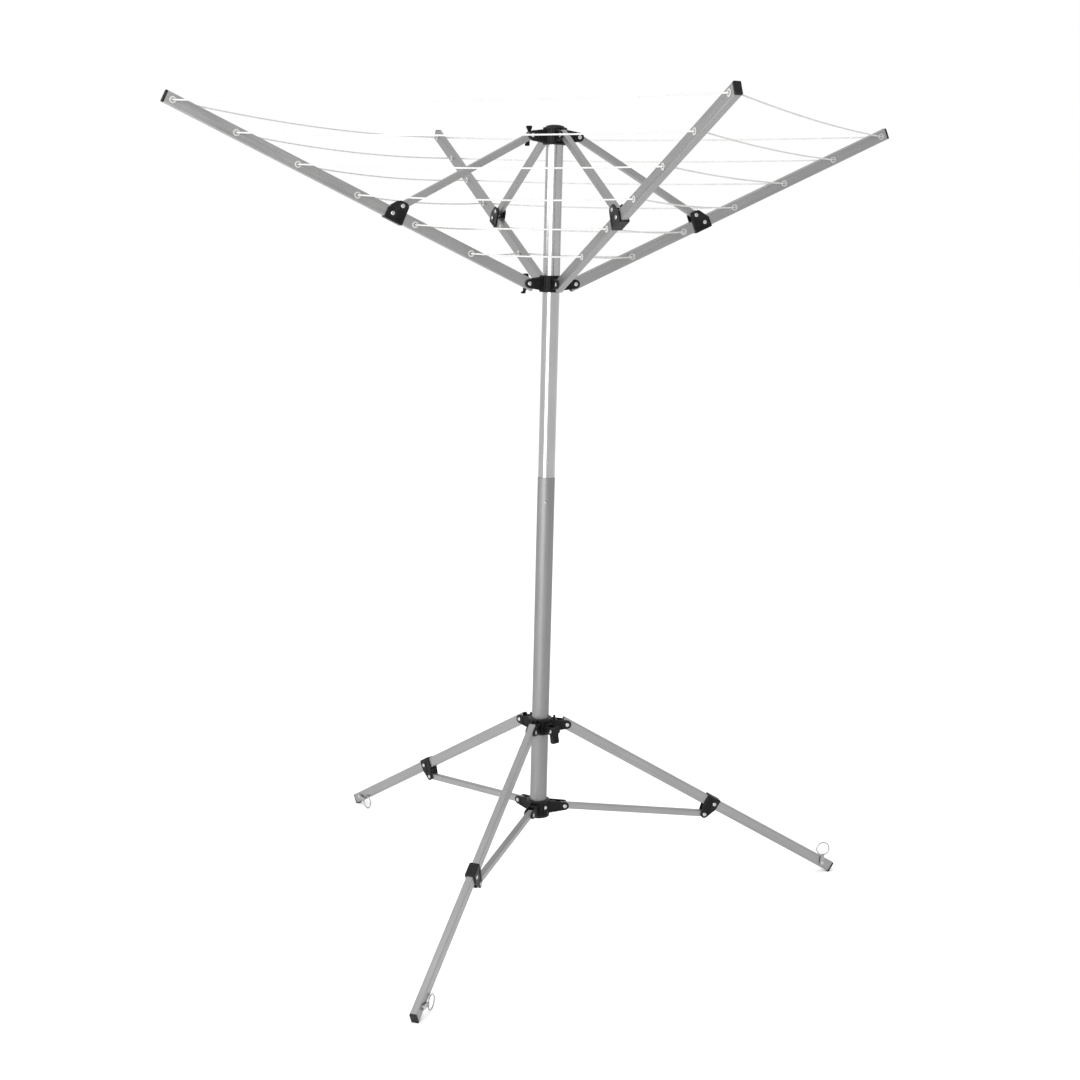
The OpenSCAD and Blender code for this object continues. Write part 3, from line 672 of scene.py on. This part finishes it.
stop_inner = STRUT_SLOT / 2 + EAR - 0.4
crown_stops = [moved(plate(hull(circles, 24), -stop_inner - 3.8, -stop_inner, 0.6),
                     turn(ARM_AZ[0], "Z") @ move(PIVOT_R, 0, 0))
               for circles in ([(-3, 17.2, 2.4), (4.8, 16.8, 2.4), (0, 7.5, 2.4)],
                               [(1.6, -18.4, 2.2), (7, -18.6, 2.2), (1.6, -7.5, 2.2)])]
CROWN_BORE = UPPER_R + GAP
ROOF = 5.3
roof = lathe([(5.1, ROOF), (CROWN_BORE + 1, ROOF), (CROWN_BORE + 1, HUB_H / 2 - 0.4), (CROWN_BORE + 0.6, HUB_H / 2),
              (5.5, HUB_H / 2), (5.1, HUB_H / 2 - 0.4)], 64, True)
crown = clevis_hub(ARM_AZ, PIVOT_R, STRUT_SLOT, ARM_WEB_R, CROWN_BORE, extra=[roof] + crown_stops)
piece("crown_hub_body", crown, move(0, 0, CROWN_Z), "head", BLACK, ["crown_hub"])

CAP_H, CAP_R, CAP_RIM = 6.0, 19.4, 0.9
dome = [(0, 0), (18.6, 0), (19.2, 0.3), (CAP_R, CAP_RIM)]
dome += [(CAP_R * math.cos(RAD(90 * t)), CAP_RIM + (CAP_H - CAP_RIM) * math.sin(RAD(90 * t)))
         for t in (0.08, 0.17, 0.27, 0.38, 0.5, 0.62, 0.74, 0.86, 0.95)]
dome += [(0, CAP_H)]
piece("crown_dome_cap", lathe(dome, 72), move(0, 0, CROWN_Z + HUB_H / 2), "head", CAP_BLACK,
      ["crown_cap"])

STRUT_GRIP, ARM_GRIP = STRUT_SLOT + 2 * EAR, ARM_SLOT + 2 * EAR
piece("crown_pivot_rivets", merged(*[moved(rivet(PIVOT_R, 0, STRUT_GRIP), turn(a, "Z")) for a in ARM_AZ]),
      move(0, 0, CROWN_Z), "head", RIVET, ["crown_rivets"])

# ---------------------------------------------------------------- struts and arms
PITCH = (EYE_FAR - EYE_NEAR) / (EYE_COUNT - 1)
EYES = [EYE_NEAR + k * PITCH for k in range(EYE_COUNT)]


def saddle(circles, x0, x1, z0, z1, holes, pocket):
    """A bracket of two cheeks either side of a bar, with a bridge across it, holes, and a pocket in each cheek."""
    outline = hull(circles, 32)
    solids, cuts = [], []
    for side in (-1, 1):
        inner, outer = side * ARM_W / 2, side * (ARM_W / 2 + EAR)
        solids.append(plate(outline, min(inner, outer), max(inner, outer), 0.9))
        deep, clear = outer - side * CHEEK_POCKET, outer + side * 2
        cuts.append(plate(hull(pocket, 16), min(deep, clear), max(deep, clear), 0))
    solids.append(block(x0, x1, -ARM_W / 2 - 1, ARM_W / 2 + 1, z0, z1, 0.8, 0.3))
    cuts += [pin(x, z, BORE, -20, 20) for x, z in holes]
    return carved(solids, cuts)


def eyelet(x):
    """A flanged bush right through the arm, with rounded flanges and a flared mouth."""
    half, bore, r = ARM_W / 2, (LINE_D + 2.2) / 2, EYE_D / 2
    outer = [(r, 0.0), (r + 0.05, 0.35), (r - 0.15, 0.85), (r - 0.7, 1.25), (r - 1.4, 1.35), (r - 2.2, 1.15),
             (r - 2.9, 0.7), (r - 3.6, 0.1), (bore + 0.7, -0.5), (bore + 0.1, -1.2)]
    profile = [(q, half + z) for q, z in outer] + [(bore, half - 2.2), (bore, 2.2 - half)]
    profile += [(q, -half - z) for q, z in reversed(outer)] + [(r - 3.05, -half), (r - 3.05, half)]
    return moved(lathe(profile, 40, True), move(x, 0, 0) @ turn(RAD(90), "X"))


def end_plug(x, h, w, flange):
    """A plug in a bar's end with a thin flange."""
    rings = []
    inner_w, inner_h = w - 2 * BAR_WALL - 0.1, h - 2 * BAR_WALL - 0.1
    for dx, sw, sh, r in ((-9.0, inner_w - 1, inner_h - 1, 0.6), (-8.4, inner_w, inner_h, 0.85),
                          (0.02, inner_w, inner_h, 0.85), (0.02, w - 0.5, h - 0.5, 1.7),
                          (0.35, w + 0.1, h + 0.1, 2.0), (flange - 0.9, w + 0.1, h + 0.1, 2.0),
                          (flange - 0.3, w - 0.7, h - 0.7, 1.7), (flange, w - 2.2, h - 2.2, 1.4)):
        rings.append([(x + dx, y, z) for y, z in section(sw, sh, r)])
    return loft(rings)


for i, a in enumerate(ARMS):
    piece(f"strut_bar_{a}", box_tube(-9, STRUT_LEN + 5.5, STRUT_H, STRUT_W, [(0, BORE), (STRUT_LEN, BORE)]),
          AT_STRUT[i], f"strut_{a}", SATIN, [f"strut_{a}"])
    holes = [(0, BORE), (ARM_RIVET_X, BORE)] + [(x, EYE_D - 6) for x in EYES]
    piece(f"arm_bar_{a}", box_tube(-12, ARM_LEN, ARM_H, ARM_W, holes), AT_ARM[i], f"arm_{a}",
          SATIN, [f"arm_{a}"])
    bracket = saddle([(AB_X - 4.5, AB_Z, 8.5), (AB_X + 4.5, AB_Z, 8.5), (AB_X - 12, -ARM_H / 2 - 0.5, 2),
                      (AB_X + 24, -ARM_H / 2 - 0.5, 2), (AB_X + 23, ARM_H / 2 - 6, 3)],
                     AB_X - 14, AB_X + 26, -ARM_H / 2 - 2.5, -ARM_H / 2,
                     [(AB_X, AB_Z), (ARM_RIVET_X, 0)],
                     [(AB_X - 6, 9, 1.5), (AB_X + 2, 9, 1.5), (AB_X - 7.5, -7, 1.5), (AB_X + 3.0, -7, 1.5)])
    piece(f"arm_bracket_body_{a}", bracket, AT_ARM[i], f"arm_{a}", BLACK,
          [f"arm_bracket_{a}"])
    rivets = merged(rivet(AB_X, AB_Z, BRACKET_GRIP), rivet(ARM_RIVET_X, 0, BRACKET_GRIP))
    piece(f"arm_bracket_rivets_{a}", rivets, AT_ARM[i], f"arm_{a}", RIVET, [f"arm_rivets_{a}"])
    piece(f"arm_end_plug_{a}", end_plug(ARM_LEN, ARM_H, ARM_W, ARM_PLUG_FLANGE), AT_ARM[i], f"arm_{a}",
          CAP_BLACK, [f"arm_cap_{a}"])
    piece(f"line_eyelets_{a}", merged(*[eyelet(x) for x in EYES]), AT_ARM[i], f"arm_{a}", WHITE,
          [f"eyelets_{a}"])

# ---------------------------------------------------------------- arm hub
arm_hub = clevis_hub(ARM_AZ, PIVOT_R, ARM_SLOT, ARM_WEB_R, UPPER_R + GAP)
piece("arm_hub_body", arm_hub, move(0, 0, ARM_HUB_Z), "arm_hub", BLACK, ["arm_hub"])
hub_rivets = [moved(rivet(PIVOT_R, 0, ARM_GRIP), turn(a, "Z")) for a in ARM_AZ[1:]]
hub_rivets.append(moved(rivet(PIVOT_R, 0, ARM_GRIP + LATCH_REACH, -LATCH_REACH / 2), turn(ARM_AZ[0], "Z")))
piece("arm_hub_pivot_rivets", merged(*hub_rivets), move(0, 0, ARM_HUB_Z), "arm_hub", RIVET,
      ["arm_hub_rivets"])
latch = carved(latch_shape(LATCH_INNER, LATCH_T), [pin(0, 0, BORE, -30, 30)])
piece("arm_hub_latch", latch, move(0, 0, ARM_HUB_Z) @ turn(ARM_AZ[0], "Z") @ move(PIVOT_R, 0, 0), "hub_latch",
      BLACK, ["hub_latch"])

# ---------------------------------------------------------------- leg hub and clamp
def clamp_lugs():
    half = LEVER_W / 2 + GAP
    solids = []
    for side in (-1, 1):
        y0, y1 = sorted((side * half, side * (half + 3.2)))
        outline = hull([(CLAMP_R, -CLAMP_DROP, 8), (LOWER_R + 6, -9, 2), (LOWER_R + 6, 3, 2)], 28)
        solids.append(plate(outline, y0, y1, 0.7))
    solids.append(block(LOWER_R + 4, LOWER_R + 13, -LEVER_W / 2 - 1, LEVER_W / 2 + 1, -11, 9, 1.2, 0.5))
    return [moved(s, turn(CLAMP_AZ, "Z")) for s in solids]


clamp_pin = moved(pin(CLAMP_R, -CLAMP_DROP, BORE, -30, 30), turn(CLAMP_AZ, "Z"))
keyway = moved(block(0, LOWER_R + 3.2, -4.5, 4.5, -HUB_H, HUB_H, 0.8, 0), turn(BUTTON_AZ, "Z"))
knobs = [moved(lathe([(0, 8), (2.6, 8), (2.6, 19.4), (2.2, 20.2), (1.2, 20.6), (0, 20.6)], 24),
               turn(a, "Z") @ move(LOWER_R + 12.5, 0, 0)) for a in LEG_AZ]
leg_hub = clevis_hub(LEG_AZ, LEG_PIVOT_R, ARM_SLOT, LEG_WEB_R, LOWER_R + GAP, extra=clamp_lugs() + knobs,
                     extra_cuts=[clamp_pin, keyway])
piece("leg_hub_body", leg_hub, move(0, 0, LEG_HUB_Z), "leg_hub", BLACK, ["leg_hub"])
leg_hub_rivets = [moved(rivet(LEG_PIVOT_R, 0, ARM_GRIP), turn(a, "Z")) for a in LEG_AZ]
leg_hub_rivets.append(moved(rivet(CLAMP_R, -CLAMP_DROP, LEVER_W + 2 * GAP + 6.4), turn(CLAMP_AZ, "Z")))
piece("leg_hub_pivot_rivets", merged(*leg_hub_rivets), move(0, 0, LEG_HUB_Z), "leg_hub", RIVET,
      ["leg_hub_rivets"])
half = LEVER_W / 2
lever_parts = [plate(hull([(0, 0, 7), (1.8, -15, 6.0)], 28), -half, half, 1.0),
               plate(hull([(1.8, -14, 6.2), (1.4, -23.4, 4.2), (5.8, -22.8, 4.3)], 28), -half, half, 1.2)]
lever_parts += [block(8.0 + d * 0.22, 9.7 + d * 0.22, -half + 1.5, half - 1.5, -13 - d - 1.2, -13 - d,
                      0.5, 0.3) for d in (0, 3, 6, 9)]
lever = carved(lever_parts, [pin(0, 0, BORE, -30, 30)])
piece("clamp_lever_body", lever,
      move(0, 0, LEG_HUB_Z) @ turn(CLAMP_AZ, "Z") @ move(CLAMP_R, 0, -CLAMP_DROP),
      "clamp_lever", BLACK, ["clamp_lever"])

# ---------------------------------------------------------------- base hub
PLUG_R = LOWER_R - WALL - 0.3
FLOOR = -HUB_H / 2 - 3
floor_cap = lathe([(0, FLOOR), (LOWER_R + HUB_WALL - 1.2, FLOOR), (LOWER_R + HUB_WALL - 0.3, FLOOR + 0.4),
                   (LOWER_R + HUB_WALL, FLOOR + 1.2), (LOWER_R + HUB_WALL, FLOOR + 2.95), (PLUG_R, FLOOR + 2.95),
                   (PLUG_R, FLOOR + 8.2), (PLUG_R - 0.8, FLOOR + 9), (0, FLOOR + 9)], 72)
hub_skirt = lathe([(LOWER_R + 0.02, FLOOR + 2.5), (LOWER_R + HUB_WALL - 0.3, FLOOR + 2.5),
                   (LOWER_R + HUB_WALL - 0.3, FLOOR + 4.5), (LOWER_R + 0.02, FLOOR + 4.5)], 72, True)
base_hub = clevis_hub(LEG_AZ, LEG_PIVOT_R, STRUT_SLOT, LEG_WEB_R, LOWER_R + 0.02, extra=[floor_cap, hub_skirt])
piece("base_hub_body", base_hub, move(0, 0, BASE_Z), "base", BLACK, ["base_hub"])
fixing = lathe([(0, HUB_WALL - 2), (PIN / 2, HUB_WALL - 2), (PIN / 2, HUB_WALL - 0.2), (4.2, HUB_WALL - 0.2),
                (4.1, HUB_WALL + 0.3), (3.4, HUB_WALL + 0.8), (2.2, HUB_WALL + 1.12), (0, HUB_WALL + 1.2)], 32)
base_rivets = [moved(fixing, turn(CLAMP_AZ, "Z") @ move(LOWER_R, 0, 3) @ turn(RAD(90), "Y"))]
base_rivets += [moved(rivet(LEG_PIVOT_R, 0, STRUT_GRIP), turn(a, "Z")) for a in LEG_AZ]
piece("base_hub_rivets", merged(*base_rivets), move(0, 0, BASE_Z), "base", RIVET,
      ["base_rivets"])

# ---------------------------------------------------------------- legs and braces
def ring_rivet(side):
    """The rivet a peg ring hangs on, and the spacer that holds its strap off the leg."""
    outer = RING_Y + STRAP_T / 2 + GAP
    spacer_end = RING_Y - STRAP_T / 2 - GAP
    spacer = moved(lathe([(PIN / 2, 0), (4.5, 0), (4.5, spacer_end - ARM_W / 2 - 0.2),
                          (4.3, spacer_end - ARM_W / 2), (PIN / 2, spacer_end - ARM_W / 2)], 32, True),
                   move(RING_RIVET_X, side * ARM_W / 2, 0) @ turn(-side * RAD(90), "X"))
    return [rivet(RING_RIVET_X, 0, outer + ARM_W / 2, side * (outer - ARM_W / 2) / 2), spacer]


def peg_ring():
    """A wire ring closed by a strap that is curled round it and turns on the rivet."""
    steps, sides = 72, 14
    rings = []
    for s in range(steps):
        t = 2 * math.pi * s / steps
        out = Vector((math.cos(t), 0, math.sin(t)))
        centre = Vector((RING_REACH, 0, 0)) + out * RING_R
        rings.append([centre + WIRE_D / 2 * (math.cos(u) * out + math.sin(u) * Vector((0, 1, 0)))
                      for u in (2 * math.pi * m / sides for m in range(sides))])
    wire = loft(rings, closed=True)
    strap_end = RING_REACH - RING_R - 1.5
    strap = plate(hull([(0, 0, 5.5), (strap_end, 3.2, 0.8), (strap_end, -3.2, 0.8)], 28),
                  -STRAP_T / 2, STRAP_T / 2, 0.25, 2)
    r = WIRE_D / 2
    curl = moved(lathe([(r - 0.1, -4), (r + 0.9, -4), (r + 1.1, -3.7), (r + 1.1, 3.7), (r + 0.9, 4),
                        (r - 0.1, 4)], 28, True), move(RING_REACH - RING_R, 0, 0))
    return wire, carved([strap, curl], [pin(0, 0, BORE, -5, 5)])


for i, n in enumerate(LEGS):
    holes = [(0, BORE), (LEG_RIVET_X, BORE), (RING_RIVET_X, BORE)]
    piece(f"leg_bar_{n}", box_tube(-12, LEG_LEN, LEG_H, ARM_W, holes), AT_LEG[i], f"leg_{n}",
          SATIN, [f"leg_{n}"])
    brace = box_tube(-8, BRACE_LEN + 8, BRACE_H, STRUT_W, [(0, BORE), (BRACE_LEN, BORE)])
    piece(f"brace_bar_{n}", brace, AT_BRACE[i], f"brace_{n}", SATIN, [f"brace_{n}"])
    bracket = saddle([(LB_X, LB_Z, 8.5), (LB_X - 13, LEG_H / 2 + 0.5, 2), (LB_X + 15, LEG_H / 2 + 0.5, 2),
                      (LB_X + 14.5, -LEG_H / 2 + 1.5, 2.5), (LB_X - 12.5, -LEG_H / 2 + 4.5, 2.5)],
                     LB_X - 15, LB_X + 17, LEG_H / 2, LEG_H / 2 + 2.5,
                     [(LB_X, LB_Z), (LEG_RIVET_X, 0)],
                     [(LB_X - 4, -18, 1.5), (LB_X + 3, -18, 1.5), (LB_X - 9, 5, 1.5), (LB_X - 1.5, 5, 1.5)])
    piece(f"leg_bracket_body_{n}", bracket, AT_LEG[i], f"leg_{n}", BLACK,
          [f"leg_bracket_{n}"])
    rivets = merged(rivet(LB_X, LB_Z, BRACKET_GRIP), rivet(LEG_RIVET_X, 0, BRACKET_GRIP),
                    *ring_rivet(RING_SIDE[i]))
    piece(f"leg_rivets_set_{n}", rivets, AT_LEG[i], f"leg_{n}", RIVET, [f"leg_rivets_{n}"])
    toe = block(LEG_LEN + 0.1, LEG_LEN + 4, -ARM_W / 2, ARM_W / 2, -LEG_H / 2 - 5, -LEG_H / 2 + 1.5, 0.8, 0.5)
    ground = moved(block(FOOT_R - 200, FOOT_R + 200, -200, 200, -200, 0, 0.5, 0),
                   AT_LEG[i].inverted() @ turn(LEG_AZ[i], "Z"))
    foot = carved([end_plug(LEG_LEN, LEG_H, ARM_W, LEG_PLUG_FLANGE), toe], [ground])
    piece(f"leg_foot_plug_{n}", foot, AT_LEG[i], f"leg_{n}", CAP_BLACK, [f"foot_cap_{n}"])
    wire, strap = peg_ring()
    at_ring = AT_LEG[i] @ move(RING_RIVET_X, RING_SIDE[i] * RING_Y, 0) @ turn(-LEG_TILT - RING_LIE[i], "Y")
    piece(f"peg_ring_wire_{n}", wire, at_ring, f"peg_ring_{n}", WIRE, [f"peg_ring_{n}"])
    piece(f"peg_ring_strap_{n}", strap, at_ring, f"peg_ring_{n}", WIRE)

# ---------------------------------------------------------------- washing line
FOLD = RAD(max(RANGE["strut_a_fold"]))


def through_eyelets():
    """The short stretches of line inside an arm's six eyelets, in the arm's level frame."""
    stretches = []
    for x in EYES:
        radius, height = PIVOT_R + x * math.cos(ARM_TILT), ARM_HUB_Z + x * math.sin(ARM_TILT)
        rings = [[Vector((radius + LINE_D / 2 * math.sin(u), y, height + LINE_D / 2 * math.cos(u)))
                  for u in (2 * math.pi * m / LINE_SIDES for m in range(LINE_SIDES))]
                 for y in (-EYE_HALF - 0.3, 0, EYE_HALF + 0.3)]
        stretches.append(loft(rings))
    return merged(*stretches)


def half_span(k, side, slack):
    """Half of one straight of the line, from the mouth of an eyelet to the middle of the span, in the arm's level
    frame: X outwards, Y across, Z up, origin on the pole's axis on the ground."""
    radius = PIVOT_R + EYES[k] * math.cos(ARM_TILT)
    height = ARM_HUB_Z + EYES[k] * math.sin(ARM_TILT)
    start, end = Vector((radius, EYE_HALF, height)), Vector((EYE_HALF, radius, height))
    sag = LINE_SAG * slack * (end - start).length
    points = [Vector((radius, EYE_HALF - 0.5, height))]
    steps = 20
    for s in range(steps + 1):
        t = 0.5 * s / steps
        points.append(start + t * (end - start) - Vector((0, 0, 4 * sag * t * (1 - t))))
    last = (points[-1] - points[-2]).normalized()
    points.append(points[-1] + last * 0.4)
    rings = []
    for j, p in enumerate(points):
        along = (points[min(j + 1, len(points) - 1)] - points[max(j - 1, 0)]).normalized()
        across = Vector((0, 0, 1)).cross(along).normalized()
        up = along.cross(across)
        ring = []
        for m in range(LINE_SIDES):
            u = 2 * math.pi * m / LINE_SIDES
            q = p + LINE_D / 2 * (math.cos(u) * across + math.sin(u) * up)
            ring.append(Vector((q.x, q.y * side, q.z)))
        rings.append(ring)
    anchor = Vector((radius, EYE_HALF * side, height))
    middle = points[-2]
    return loft(rings), anchor, Vector((middle.x, middle.y * side, middle.z))


def fold_share(anchor, middle):
    """The direction across the arm in which a half span shortens as the arms fold, and how much of it is left."""
    arm = Vector((math.cos(ARM_TILT), 0, math.sin(ARM_TILT)))
    span = middle - anchor
    span.z = 0
    across = span - span.dot(arm) * arm
    width = across.length
    across.normalize()
    raise_arm = turn(-FOLD, "Y")
    arm_up, across_up = raise_arm @ arm, raise_arm @ across
    # The fold keeps the distance along the arm from its pivot on the hub
    foot = Vector((PIVOT_R, 0, 0)) + arm_up * math.hypot(anchor.x - PIVOT_R, anchor.z - ARM_HUB_Z)
    point = foot + arm_up * span.dot(arm)
    lean = abs(across_up.y) - across_up.x
    return across, (point.x - abs(anchor.y)) / lean / width


# The span between arms d and a hangs slackest; the others are drawn tighter, the outer loops most
SLACK_SPAN, INNER_LOOPS, INNER_SLACK, OUTER_SLACK = 3, 3, 0.75, 0.5
first = True
for i, a in enumerate(ARMS):
    piece(f"line_in_eyelets_{a}", through_eyelets(), turn(ARM_AZ[i], "Z"), f"arm_{a}", LINE)
    for k in range(EYE_COUNT):
        for side, tag in ((1, "left"), (-1, "right")):
            span = i if side == 1 else (i - 1) % 4
            slack = 1.0 if span == SLACK_SPAN else INNER_SLACK if k < INNER_LOOPS else OUTER_SLACK
            shape, anchor, middle = half_span(k, side, slack)
            across, keep = fold_share(anchor, middle)
            level = turn(ARM_AZ[i], "Z")
            obj = piece(f"line_{k + 1}_{tag}_{a}", shape, level, f"arm_{a}", LINE,
                        ["clothesline"] if first else ())
            first = False
            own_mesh(obj)

# ---------------------------------------------------------------- floor, world and lights
FLOOR_Z, FLOOR_STEPS, AIM_Z = -0.0003, 96, 0.9


def make_floor():
    rings = []
    for r in (0.001, 1.5, 3, 6, 15, 60):
        rings.append([(r * math.cos(2 * math.pi * s / FLOOR_STEPS), r * math.sin(2 * math.pi * s / FLOOR_STEPS),
                       FLOOR_Z) for s in range(FLOOR_STEPS)])
    bm = loft(rings, capped=False)
    mesh = bpy.data.meshes.new("floor")
    bm.to_mesh(mesh)
    bm.free()
    if mesh.polygons[0].normal.z < 0:
        mesh.flip_normals()
    mat, tree, shader = material("pale_floor")
    coordinates = tree.nodes.new("ShaderNodeTexCoord")
    mottle = node(tree, "ShaderNodeTexNoise", Scale=3.0, Detail=3.0)
    tree.links.new(coordinates.outputs["Object"], mottle.inputs["Vector"])
    tree.links.new(ramp(tree, mottle.outputs["Fac"], [(0.3, (0.93, 0.93, 0.93)), (0.7, (0.95, 0.95, 0.95))]),
                   shader.inputs["Base Color"])
    shader.inputs["Roughness"].default_value = 0.9
    shader.inputs["Specular IOR Level"].default_value = 0.1
    mesh.materials.append(mat)
    floor = bpy.data.objects.new("floor", mesh)
    bpy.context.scene.collection.objects.link(floor)


def make_world():
    world = bpy.data.worlds.new("studio")
    world.use_nodes = True
    world.node_tree.nodes["Background"].inputs["Color"].default_value = (1, 1, 1, 1)
    world.node_tree.nodes["Background"].inputs["Strength"].default_value = 1.0
    bpy.context.scene.world = world


def area(name, az, distance, height, width, tall, power):
    """A soft box that faces the object from this direction."""
    data = bpy.data.lights.new(name, "AREA")
    data.shape = "RECTANGLE"
    data.size, data.size_y = width, tall
    data.energy = power
    light = bpy.data.objects.new(name, data)
    position = Vector((math.cos(RAD(az)) * distance, math.sin(RAD(az)) * distance, height))
    light.location = position
    light.rotation_euler = (Vector((0, 0, AIM_Z)) - position).to_track_quat("-Z", "Y").to_euler()
    light.visible_camera = False
    bpy.context.scene.collection.objects.link(light)


make_floor()
make_world()
area("key_softbox", az=222, distance=2.9, height=1.55, width=1.9, tall=2.6, power=56)
area("side_softbox", az=178, distance=2.9, height=2.15, width=1.9, tall=1.5, power=38)
sun = bpy.data.lights.new("overhead", "SUN")
sun.energy, sun.angle = 0.55, RAD(70)
overhead = bpy.data.objects.new("overhead", sun)
overhead.rotation_euler = (RAD(8), RAD(-6), 0)
bpy.context.scene.collection.objects.link(overhead)
bpy.context.scene.view_settings.view_transform = "Standard"
